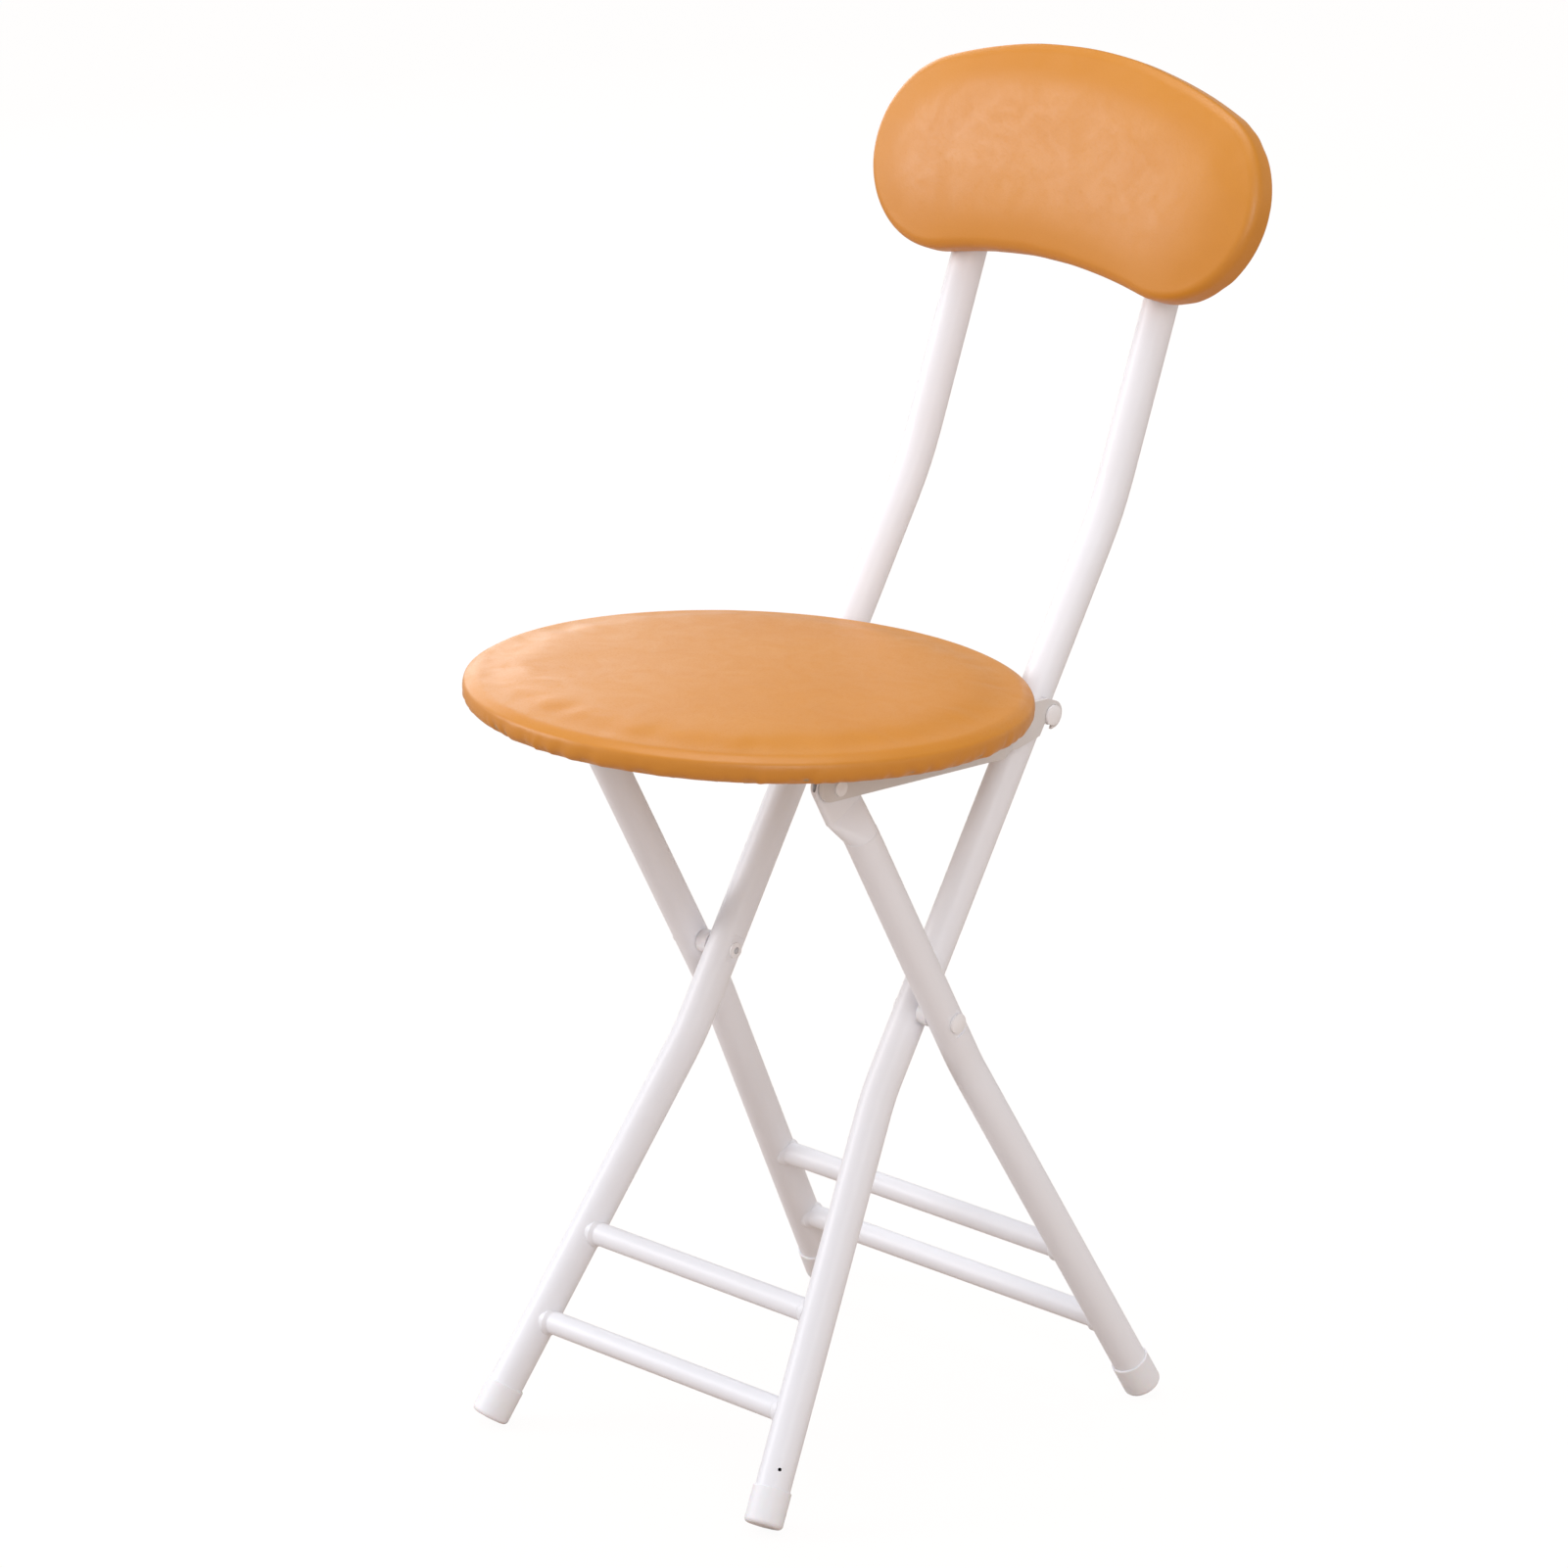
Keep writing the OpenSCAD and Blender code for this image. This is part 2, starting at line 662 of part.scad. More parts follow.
// Seat rail: an angle section pressed from sheet, joggled inwards to its hook tab
function rail_outline() = concat(
    [[hinge_s[0] - rail_front, 0]],
    arc([hinge_s[0] - rail_front + rail_front_round, rail_low + rail_front_round], rail_front_round,
        180, 270, round_steps),
    [[hook_s[0] - rail_rise, rail_low]],
    arc(hook_s, tab_r, tab_from, tab_to, 2 * round_steps),
    [
        [hook_s[0] - tab_top, -cover_t - rim_gap],
        [flange_rear + rim_step, -cover_t - rim_gap],
        [flange_rear + rim_step, 0]
    ]
);
function rail_plan() = [
    [rail_in, hinge_s[0] - rail_front - over],
    [rail_out, hinge_s[0] - rail_front - over],
    [rail_out, joggle_start],
    [tab_out, joggle_start + joggle_len],
    [tab_out, hook_s[0] + tab_r + over],
    [tab_in, hook_s[0] + tab_r + over],
    [tab_in, joggle_start + joggle_len - joggle_shift],
    [rail_in, joggle_start - joggle_shift]
];
// Angle section: flange along the top, bent into the web
function angle_section() = concat(
    [[rail_out - flange_w, 0]],
    [[rail_out - flange_w, -rail_t]],
    arc([rail_out - rail_bend_r, -rail_bend_r], rail_bend_r - rail_t, 90, 0, round_steps),
    [[rail_in, -rail_front]],
    [[rail_out, -rail_front]],
    arc([rail_out - rail_bend_r, -rail_bend_r], rail_bend_r, 0, 90, round_steps)
);
// Side-view outline given a thickness across the chair
module side_plate(points, x0, x1) {
    translate([x0, 0, 0]) rotate([90, 0, 90]) linear_extrude(x1 - x0) polygon(points);
}
// Points seen from the front, drawn out along the chair
module front_extrusion(points, y0, y1) {
    translate([0, y1, 0]) rotate([90, 0, 0]) linear_extrude(y1 - y0) polygon(points);
}
function hook_notch() =
    let (
        way = [cos(notch_angle), sin(notch_angle)],
        side = [-way[1], way[0]],
        half = hook_pin_d / 2 + notch_play,
        mouth = half + notch_flare
    )
        [
            hook_s + side * half,
            hook_s + way * notch_len + side * mouth,
            hook_s + way * notch_len - side * mouth,
            hook_s - side * half
        ];
module seat_rail() {
    color("linen") in_seat_frame() difference() {
        union() {
            difference() {
                intersection() {
                    side_plate(rail_outline(), tab_in - over, rail_out + over);
                    translate([0, 0, rail_low - over]) linear_extrude(over - rail_low + over)
                        polygon(rail_plan());
                }
                translate([rail_out - rail_bend_r, flange_front, -rail_bend_r])
                    cube([rail_bend_r + over, flange_rear - flange_front, rail_bend_r + over]);
            }
            front_extrusion(angle_section(), flange_front, flange_rear);
        }
        translate([rail_in - over, hinge_s[0], hinge_s[1]]) rotate([0, 90, 0])
            cylinder(h = rail_t + 2 * over, r = hinge_pin_r + running);
        translate([tab_in - over, hook_s[0], hook_s[1]]) rotate([0, 90, 0])
            cylinder(h = rail_t + 2 * over, r = hook_pin_d / 2 + notch_play);
        side_plate(hook_notch(), tab_in - over, tab_out + over);
        for (share = screw_shares)
            translate([screw_x, flange_front + share * (flange_rear - flange_front), -rail_t - over])
                cylinder(h = rail_t + 2 * over, r = screw_r + running);
    }
}

// Places of the seat screws, on both sides
module at_screws() {
    for (side = [-1, 1], share = screw_shares)
        translate([side * screw_x, flange_front + share * (flange_rear - flange_front), 0]) children();
}
module seat_screws() {
    color("silver") in_seat_frame() at_screws() {
        translate([0, 0, -rail_t]) cylinder(h = screw_in + rail_t, r = screw_r);
        translate([0, 0, -rail_t]) mirror([0, 0, 1]) dome_head(screw_head_r, screw_head_h);
    }
}

// Seat cushion
crown_r = seat_r - seat_top_round;
// Outside of the seat from its underside to its middle, drawn in by the thickness of a skin
function seat_profile(skin) = concat(
    arc([seat_r - seat_bottom_round, seat_bottom_round - cover_t], seat_bottom_round - skin,
        -90, 0, round_steps),
    arc([crown_r, seat_edge_top - seat_top_round], seat_top_round - skin, 0, 90, round_steps),
    [for (i = [1 : crown_steps])
        let (share = 1 - i / crown_steps)
            [crown_r * share, seat_edge_top - skin + seat_crown * (1 - pow(share, 2))]]
);
module seat_cover() {
    hem_r = seat_r - hem_w;
    color("peru") in_seat_frame() rotate_extrude() polygon(concat(
        [[hem_r, -cover_t]],
        seat_profile(0),
        reversed(seat_profile(cover_t)),
        [[hem_r, 0]]
    ));
}
module seat_board() {
    edge = seat_r - cover_t - snug;
    lower = seat_bottom_round - cover_t;
    color("burlywood") in_seat_frame() difference() {
        rotate_extrude() polygon(concat(
            [[0, 0]],
            arc([edge - lower, lower], lower, -90, 0, round_steps),
            [[edge, seat_board_t], [0, seat_board_t]]
        ));
        at_screws() translate([0, 0, -over]) cylinder(h = screw_in + over + fitted, r = screw_r + fitted);
    }
}
module seat_foam() {
    skin = cover_t + snug / 2;
    color("khaki") in_seat_frame() intersection() {
        rotate_extrude() polygon(concat(seat_profile(skin), [[0, 0]]));
        translate([0, 0, seat_board_t + fitted]) cylinder(h = seat_d, r = seat_r);
    }
}

// Backrest cushion, drawn with the bean in the XY plane and its back at z = 0
module in_rest_frame() {
    in_upper_frame() translate([0, -rest_back, 0]) rotate([90, 0, 0]) children();
}
// Solid through a list of rings of equal length, with a middle point at each end
module ring_solid(rings, first_mid, last_mid) {
    count = len(rings);
    points = concat([first_mid], [for (ring = rings) for (p = ring) p], [last_mid]);
    last = count * bean_n + 1;
    faces = concat(
        [for (j = [0 : bean_n - 1]) [0, 1 + (j + 1) % bean_n, 1 + j]],
        [for (i = [0 : count - 2], j = [0 : bean_n - 1])
            [1 + i * bean_n + j, 1 + i * bean_n + (j + 1) % bean_n,
                1 + (i + 1) * bean_n + (j + 1) % bean_n]],
        [for (i = [0 : count - 2], j = [0 : bean_n - 1])
            [1 + i * bean_n + j, 1 + (i + 1) * bean_n + (j + 1) % bean_n, 1 + (i + 1) * bean_n + j]],
        [for (j = [0 : bean_n - 1])
            [last, 1 + (count - 1) * bean_n + j, 1 + (count - 1) * bean_n + (j + 1) % bean_n]]
    );
    polyhedron(points = points, faces = faces);
}
// The outline at an inset, raised to a height
function bean_ring(inset, z) = [for (p = bean(inset)) [p[0], p[1], z]];
function rings_of(profile) = [for (s = profile) bean_ring(s[0], s[1])];
rest_mid = rest_dip + rest_waist / 2;
module backrest_cover() {
    color("peru") in_rest_frame() ring_solid(
        rings_of(concat(
            reversed(rest_front(cover_t)),
            [[cover_t, 0], [hem_w, 0], [hem_w, -cover_t]],
            rest_back_edge(),
            rest_front(0)
        )),
        [0, rest_mid, rest_edge_top - cover_t + rest_crown],
        [0, rest_mid, rest_edge_top + rest_crown]
    );
}
module at_bolts() {
    for (side = [-1, 1], up = [bolt_up_low, bolt_up_high])
        translate([side * back_x, up, 0]) children();
}
module backrest_board() {
    color("burlywood") in_rest_frame() difference() {
        linear_extrude(rest_board_t) polygon(bean(cover_t + fitted));
        at_bolts() {
            translate([0, 0, -over]) cylinder(h = rest_board_t + 2 * over, r = tee_barrel_r + fitted);
            translate([0, 0, rest_board_t - tee_flange_t - fitted])
                cylinder(h = tee_flange_t + over, r = tee_flange_r + fitted);
        }
    }
}
module backrest_back_panel() {
    color("peru") in_rest_frame() difference() {
        translate([0, 0, -cover_t - panel_t]) linear_extrude(panel_t) polygon(bean(panel_inset));
        at_bolts() translate([0, 0, -cover_t - panel_t - over])
            cylinder(h = panel_t + 2 * over, r = bolt_hole_r);
    }
}
module backrest_foam() {
    start = rest_board_t + fitted;
    front = [for (s = rest_front(cover_t + fitted)) if (s[1] > start) s];
    color("khaki") in_rest_frame() ring_solid(
        rings_of(concat([[front[0][0], start]], front)),
        [0, rest_mid, start],
        [0, rest_mid, rest_edge_top - cover_t - fitted + rest_crown]
    );
}
module backrest_bolts() {
    head_z = -rest_back - tube_r - fitted;
    color("silver") in_rest_frame() at_bolts() {
        translate([0, 0, head_z]) cylinder(h = rest_board_t - tee_flange_t - head_z, r = bolt_r);
        translate([0, 0, head_z]) mirror([0, 0, 1]) dome_head(bolt_head_r, bolt_head_h);
    }
}
module backrest_tee_nuts() {
    color("silver") in_rest_frame() at_bolts() difference() {
        union() {
            translate([0, 0, tee_gap]) cylinder(h = rest_board_t - tee_gap, r = tee_barrel_r);
            translate([0, 0, rest_board_t - tee_flange_t])
                cylinder(h = tee_flange_t, r = tee_flange_r);
        }
        translate([0, 0, -over]) cylinder(h = rest_board_t + 2 * over, r = bolt_r + fitted);
    }
}

upright_tube();  // upright_tube_left
right_side() upright_tube();  // upright_tube_right
front_rung(front_rung_h1);  // front_rung_upper
front_rung(front_rung_h2);  // front_rung_lower
foot_cap_front();  // foot_cap_front_left
right_side() foot_cap_front();  // foot_cap_front_right
upright_plug();  // upright_plug_left
right_side() upright_plug();  // upright_plug_right
backrest_board();
backrest_foam();
backrest_cover();
backrest_back_panel();
backrest_bolts();
backrest_tee_nuts();
pivot_rivet();  // pivot_rivet_left
right_side() pivot_rivet();  // pivot_rivet_right
pivot_spacer();  // pivot_spacer_left
right_side() pivot_spacer();  // pivot_spacer_right
hook_pin();  // hook_pin_left
right_side() hook_pin();  // hook_pin_right
leg_tube();  // leg_tube_left
right_side() leg_tube();  // leg_tube_right
rear_rung(rear_rung_h1);  // rear_rung_upper
rear_rung(rear_rung_h2);  // rear_rung_lower
foot_cap_rear();  // foot_cap_rear_left
right_side() foot_cap_rear();  // foot_cap_rear_right
hinge_rivet();  // hinge_rivet_left
right_side() hinge_rivet();  // hinge_rivet_right
hinge_washer();  // hinge_washer_left
right_side() hinge_washer();  // hinge_washer_right
seat_rail();  // seat_rail_left
right_side() seat_rail();  // seat_rail_right
seat_screws();
seat_board();
seat_foam();
seat_cover();
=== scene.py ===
"""Dresses the folding chair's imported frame: pads, fasteners, finishes, floor, light, camera."""

import logging
import math
import random
from dataclasses import dataclass, field
from enum import Enum
from typing import Callable, ClassVar, Sequence

import bmesh
import bpy
import numpy as np
from mathutils import Matrix, Vector


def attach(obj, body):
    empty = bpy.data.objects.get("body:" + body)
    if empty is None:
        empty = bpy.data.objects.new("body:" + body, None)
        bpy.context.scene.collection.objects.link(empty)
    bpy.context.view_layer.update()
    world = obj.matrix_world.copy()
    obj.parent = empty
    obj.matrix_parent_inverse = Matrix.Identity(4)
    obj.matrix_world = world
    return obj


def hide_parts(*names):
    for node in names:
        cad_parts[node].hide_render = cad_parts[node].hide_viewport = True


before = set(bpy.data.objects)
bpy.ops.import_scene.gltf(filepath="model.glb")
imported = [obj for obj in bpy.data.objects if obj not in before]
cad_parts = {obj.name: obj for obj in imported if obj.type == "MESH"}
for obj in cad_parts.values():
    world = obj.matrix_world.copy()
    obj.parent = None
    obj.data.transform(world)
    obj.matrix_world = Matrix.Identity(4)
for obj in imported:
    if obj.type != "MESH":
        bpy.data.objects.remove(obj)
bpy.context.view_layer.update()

LOG = logging.getLogger("folding_chair")
MM = 0.001
WELD = 0.00001
STILL = 1e-7
NO_LENGTH = 1e-9
Colour = tuple[float, float, float]


class Body(Enum):
    """The rigid bodies that pieces ride on."""

    BACK_FRAME = "back_frame"
    LEG_FRAME = "leg_frame"
    SEAT = "seat"


class Slot(Enum):
    """The record's material slots."""

    WHITE_COAT = "white_coat"
    WHITE_PLASTIC = "white_plastic"
    ZINC_STEEL = "zinc_steel"
    TAN_LEATHER = "tan_leather"
    PLYWOOD = "plywood"
    FOAM = "foam"


# Sizes


@dataclass(frozen=True)
class ChairFrames:
    """Places of the chair's own frames of reference, in millimetres and degrees."""

    pivot: tuple[float, float] = (-14.4455, 245.0)
    back_lean: float = 31.5
    upper_bend: float = 10.6
    bend_up: float = 286.3
    rest_back: float = 11.5
    seat_at: tuple[float, float] = (-67.4032, 410.099)
    seat_tilt: float = 3.18767

    def seat(self) -> Matrix:
        """Works out the seat's frame.

        Returns:
            The frame, with the board's underside at z = 0 and its centre at the origin.
        """
        y, z = self.seat_at
        return Matrix.Translation((0.0, y * MM, z * MM)) @ Matrix.Rotation(
            -math.radians(self.seat_tilt), 4, "X")

    def rest(self) -> Matrix:
        """Works out the backrest's frame.

        Returns:
            The frame, with the bean in its XY plane and the board's back at z = 0.
        """
        y, z = self.pivot
        return (Matrix.Translation((0.0, y * MM, z * MM))
                @ Matrix.Rotation(-math.radians(self.back_lean), 4, "X")
                @ Matrix.Translation((0.0, 0.0, self.bend_up * MM))
                @ Matrix.Rotation(math.radians(self.upper_bend), 4, "X")
                @ Matrix.Translation((0.0, -self.rest_back * MM, 0.0))
                @ Matrix.Rotation(math.radians(90.0), 4, "X"))


@dataclass(frozen=True)
class SeatSizes:
    """Sizes of the round seat pad, in millimetres."""

    radius: float = 150.0
    top_round: float = 8.0
    bottom_round: float = 6.0
    edge_top: float = 15.0
    side_middle: float = 5.0
    crown: float = 5.0
    shoulder_drop: float = 0.9
    cloth: float = 1.0
    hem: float = 11.0
    hem_fold: float = 7.0
    hem_round: float = 0.25
    board_radius: float = 148.7
    board_round: float = 5.0
    board_top: float = 9.0
    gap: float = 0.06


@dataclass(frozen=True)
class RestSizes:
    """Sizes of the bean-shaped backrest pad, in millimetres."""

    lobe_r: float = 54.0
    lobe_x: float = 82.0
    lobe_up: float = 167.0
    top_up: float = 236.5
    dip_up: float = 122.0
    top_arc_r: float = 278.65
    waist_arc_r: float = 324.06
    front_round: float = 6.0
    back_round: float = 2.2
    edge_top: float = 15.0
    side_middle: float = 5.0
    crown: float = 5.6
    flat_edge: float = 0.6
    cloth: float = 1.0
    hem: float = 11.0
    hem_fold: float = 6.0
    hem_round: float = 0.25
    board_inset: float = 1.05
    board_middle: float = 4.0
    board_top: float = 8.0
    gap: float = 0.04


@dataclass(frozen=True)
class HeadSizes:
    """Sizes of a pan-headed fastener in millimetres, and its head's outline in shares of them."""

    radius: float
    height: float
    shank_radius: float
    shank_length: float

    SPOKES: ClassVar[int] = 40
    PROFILE_SHARES: ClassVar[tuple[tuple[float, float], ...]] = (
        (0.12, 1.0), (0.24, 0.99), (0.36, 0.98), (0.48, 0.965), (0.6, 0.94),
        (0.74, 0.88), (0.86, 0.76), (0.95, 0.56), (1.0, 0.3), (1.0, 0.0))


@dataclass(frozen=True)
class FastenerRow:
    """Two mirrored rows of screws or bolts, in millimetres."""

    half_spread: float
    first: float
    step: float
    count: int
    height: float
    seed: int
    head: HeadSizes


SEAT_SCREWS = FastenerRow(
    half_spread=83.35, first=-18.34, step=48.99, count=3, height=-1.8, seed=3,
    head=HeadSizes(radius=3.7, height=2.1, shank_radius=2.0, shank_length=8.8))
REST_BOLTS = FastenerRow(
    half_spread=69.7, first=138.0, step=48.0, count=2, height=-21.05, seed=8,
    head=HeadSizes(radius=4.6, height=2.6, shank_radius=2.4, shank_length=28.0))


@dataclass(frozen=True)
class StapleSizes:
    """Places and sizes of the hem's staples, in millimetres; their sway is in radians."""

    count: int = 40
    ring: float = 141.0
    height: float = -1.0
    width: float = 9.5
    wire: float = 0.8
    flat_share: float = 0.6
    tip_up: float = 0.45
    bend_down: float = -0.25
    bend_in: float = 0.35
    sway: float = 0.22
    seed: int = 5


# Mesh helpers


def mesh_object(name: str, points: Sequence[Sequence[float]], faces: Sequence[Sequence[int]],
                place: Matrix | None = None) -> bpy.types.Object:
    """Makes a smooth-shaded mesh object whose place is in its vertices.

    Args:
        name: Name of the object.
        points: Points in millimetres.
        faces: Point numbers of each face.
        place: Frame that the points are in; the row frame if left out.

    Returns:
        The new object, linked to the scene.
    """
    mesh = bpy.data.meshes.new(name)
    mesh.from_pydata([tuple(c * MM for c in p) for p in points], [], [tuple(f) for f in faces])
    if place is not None:
        mesh.transform(place)
    mesh.validate()
    mesh.shade_smooth()
    piece = bpy.data.objects.new(name, mesh)
    bpy.context.scene.collection.objects.link(piece)
    return piece


def face_outwards(piece: bpy.types.Object) -> None:
    """Merges doubled points of a closed mesh and turns its faces outwards.

    Args:
        piece: Object with the mesh.
    """
    work = bmesh.new()
    work.from_mesh(piece.data)
    bmesh.ops.remove_doubles(work, verts=work.verts, dist=WELD)
    bmesh.ops.recalc_face_normals(work, faces=work.faces)
    if work.calc_volume(signed=True) < 0:
        bmesh.ops.reverse_faces(work, faces=work.faces)
    work.to_mesh(piece.data)
    work.free()


def baked(piece: bpy.types.Object) -> bpy.types.Object:
    """Turns an object with modifiers into a plain mesh object.

    Args:
        piece: Object whose modifiers are taken into its mesh. It is removed.

    Returns:
        The plain object with the same name, at the origin.
    """
    name = piece.name
    bpy.context.view_layer.update()
    graph = bpy.context.evaluated_depsgraph_get()
    mesh = bpy.data.meshes.new_from_object(piece.evaluated_get(graph), depsgraph=graph)
    old = piece.data
    piece.modifiers.clear()
    bpy.data.objects.remove(piece)
    if old.users == 0:
        bpy.data.meshes.remove(old)
    mesh.name = name
    result = bpy.data.objects.new(name, mesh)
    bpy.context.scene.collection.objects.link(result)
    return result


def arc(centre: tuple[float, float], radius: float, start: float, end: float,
        steps: int) -> list[tuple[float, float]]:
    """Lays out an arc.

    Args:
        centre: Centre of the arc.
        radius: Its radius.
        start: First angle, in degrees.
        end: Last angle, in degrees.
        steps: How many steps it is cut into.

    Returns:
        Its points, ends included.
    """
    angles = (math.radians(start + (end - start) * i / steps) for i in range(steps + 1))
    return [(centre[0] + radius * math.cos(a), centre[1] + radius * math.sin(a)) for a in angles]


def rows_of(items: bpy.types.bpy_prop_collection, value: str) -> np.ndarray:
    """Reads a value of each of a mesh's points.

    Args:
        items: The mesh's points.
        value: Name of the value, such as "co" for its place.

    Returns:
        The values, as rows of three.
    """
    flat = np.empty(len(items) * 3)
    items.foreach_get(value, flat)
    return flat.reshape(-1, 3)


def smooth_step(value: np.ndarray) -> np.ndarray:
    """Returns a smooth rise from 0 to 1 of values that run from 0 to 1."""
    t = np.clip(value, 0.0, 1.0)
    return t * t * (3.0 - 2.0 * t)


# Node trees


class TreeBuilder:
    """A node tree with named inputs, and short calls for the nodes that it often holds."""

    def __init__(self, name: str, kind: str, inputs: dict[str, tuple[str, object]],
                 outputs: dict[str, str]) -> None:
        """Makes the tree's sockets and its ends.

        Args:
            name: Name of the tree.
            kind: Type of the tree.
            inputs: Kind and default of each input, by name.
            outputs: Kind of each output, by name.
        """
        self.tree = bpy.data.node_groups.new(name, kind)
        self.names: dict[str, str] = {}
        for label, (socket_kind, default) in inputs.items():
            socket = self.tree.interface.new_socket(
                label, in_out="INPUT", socket_type=f"NodeSocket{socket_kind}")
            if default is not None:
                socket.default_value = default
            self.names[label] = socket.identifier
        for label, socket_kind in outputs.items():
            self.tree.interface.new_socket(
                label, in_out="OUTPUT", socket_type=f"NodeSocket{socket_kind}")
        self.source = self.tree.nodes.new("NodeGroupInput")
        self.sink = self.tree.nodes.new("NodeGroupOutput")

    def node(self, kind: str, links: dict[str | int, object] | None = None,
             **settings: object) -> bpy.types.Node:
        """Adds a node and sets what goes into it."""
        return add_node(self.tree, kind, links, **settings)

    def given(self, label: str) -> bpy.types.NodeSocket:
        """Returns the socket that carries an input inside the tree."""
        return self.source.outputs[label]

    def math(self, operation: str, *values: object) -> bpy.types.NodeSocket:
        """Returns the result of a sum on values or other nodes' outputs."""
        return self.node("ShaderNodeMath", dict(enumerate(values)), operation=operation).outputs[0]

    def vector(self, x: object = 0.0, y: object = 0.0, z: object = 0.0) -> bpy.types.NodeSocket:
        """Returns a vector made of three values or other nodes' outputs."""
        return self.node("ShaderNodeCombineXYZ", {0: x, 1: y, 2: z}).outputs[0]


def add_node(tree: bpy.types.NodeTree, kind: str, links: dict[str | int, object] | None = None,
             **settings: object) -> bpy.types.Node:
    """Adds a node to a tree.

    Args:
        tree: The tree that the node goes into.
        kind: Type of the node.
        links: What goes into each input, by name or number: another node's output, or a value.
        **settings: Properties of the node itself.

    Returns:
        The new node.
    """
    made = tree.nodes.new(kind)
    for key, value in settings.items():
        setattr(made, key, value)
    for key, value in (links or {}).items():
        socket = made.inputs[key]
        if isinstance(value, bpy.types.NodeSocket):
            tree.links.new(value, socket)
        else:
            socket.default_value = value
    return made


def set_ramp(made: bpy.types.Node, stops: Sequence[tuple[float, Sequence[float]]]) -> None:
    """Sets the stops of a colour ramp.

    Args:
        made: The ramp's node.
        stops: Place of each stop, and its grey or colour.
    """
    elements = made.color_ramp.elements
    while len(elements) < len(stops):
        elements.new(0.5)
    for element, (at, tone) in zip(elements, stops):
        element.position = at
        element.color = opaque(tone if len(tone) == 3 else tone[:1] * 3)


def opaque(value: object) -> object:
    """Returns a colour with its alpha, and any other value as it is."""
    return (*value, 1.0) if isinstance(value, tuple) else value


# Skins


class Skin(TreeBuilder):
    """A shader node group that works out a surface's colour, roughness and height."""

    def __init__(self, name: str, inputs: dict[str, float | Colour]) -> None:
        """Makes the group.

        Args:
            name: Name of the group.
            inputs: Name and default of each input; a colour makes a colour socket.
        """
        kinds = {label: ("Color" if isinstance(value, tuple) else "Float", opaque(value))
                 for label, value in inputs.items()}
        super().__init__(name, "ShaderNodeTree", kinds,
                         {"Colour": "Color", "Roughness": "Float", "Height": "Float"})
        self.place = self.node("ShaderNodeTexCoord").outputs["Object"]

    def noise(self, size: object, detail: float, roughness: float = 0.5, distortion: float = 0.0,
              place: bpy.types.NodeSocket | None = None) -> bpy.types.NodeSocket:
        """Adds a noise.

        Args:
            size: Scale of the noise.
            detail: Its detail.
            roughness: Its roughness.
            distortion: Its distortion.
            place: Where it is looked up; the object's own place if left out.

        Returns:
            The noise's value.
        """
        return self.node("ShaderNodeTexNoise", {
            "Vector": self.place if place is None else place, "Scale": size, "Detail": detail,
            "Roughness": roughness, "Distortion": distortion}).outputs["Fac"]

    def cells(self, size: object, feature: str = "F1", **links: float) -> bpy.types.NodeSocket:
        """Returns the distance to the middle of the nearest cell."""
        return self.node("ShaderNodeTexVoronoi", {"Vector": self.place, "Scale": size, **links},
                         feature=feature).outputs["Distance"]

    def drawn_out(self, share: float) -> bpy.types.NodeSocket:
        """Returns the place with its Y scaled, which draws a pattern out along Y."""
        return self.node("ShaderNodeMapping", {
            "Vector": self.place, "Scale": (1.0, share, 1.0)}).outputs[0]

    def span(self, value: bpy.types.NodeSocket, low: float, high: float, top: float = 1.0,
             bottom: float = 0.0) -> bpy.types.NodeSocket:
        """Maps a value from one range to another.

        Args:
            value: The value.
            low: Start of the first range.
            high: Its end, which may lie below its start.
            top: Result at the first range's end.
            bottom: Result at its start.

        Returns:
            The mapped value, held between bottom and top.
        """
        return self.node("ShaderNodeMapRange", {
            "Value": value, "From Min": low, "From Max": high, "To Min": bottom,
            "To Max": top}).outputs[0]

    def mix(self, share: bpy.types.NodeSocket, first: object,
            second: object) -> bpy.types.NodeSocket:
        """Mixes two colours.

        Args:
            share: Share of the second colour.
            first: First colour, as a socket or as the name of one of the group's inputs.
            second: Second colour, given in the same way.

        Returns:
            The mixed colour.
        """
        tones = [self.given(tone) if isinstance(tone, str) else tone for tone in (first, second)]
        return self.node("ShaderNodeMix", {0: share, 6: tones[0], 7: tones[1]},
                         data_type="RGBA").outputs[2]

    def finish(self, colour: bpy.types.NodeSocket, roughness: bpy.types.NodeSocket,
               height: bpy.types.NodeSocket) -> "Skin":
        """Joins the results to the group's outputs.

        Args:
            colour: The surface's colour.
            roughness: Its roughness.
            height: Its height.

        Returns:
            The group.
        """
        for label, socket in (("Colour", colour), ("Roughness", roughness), ("Height", height)):
            self.tree.links.new(socket, self.sink.inputs[label])
        return self


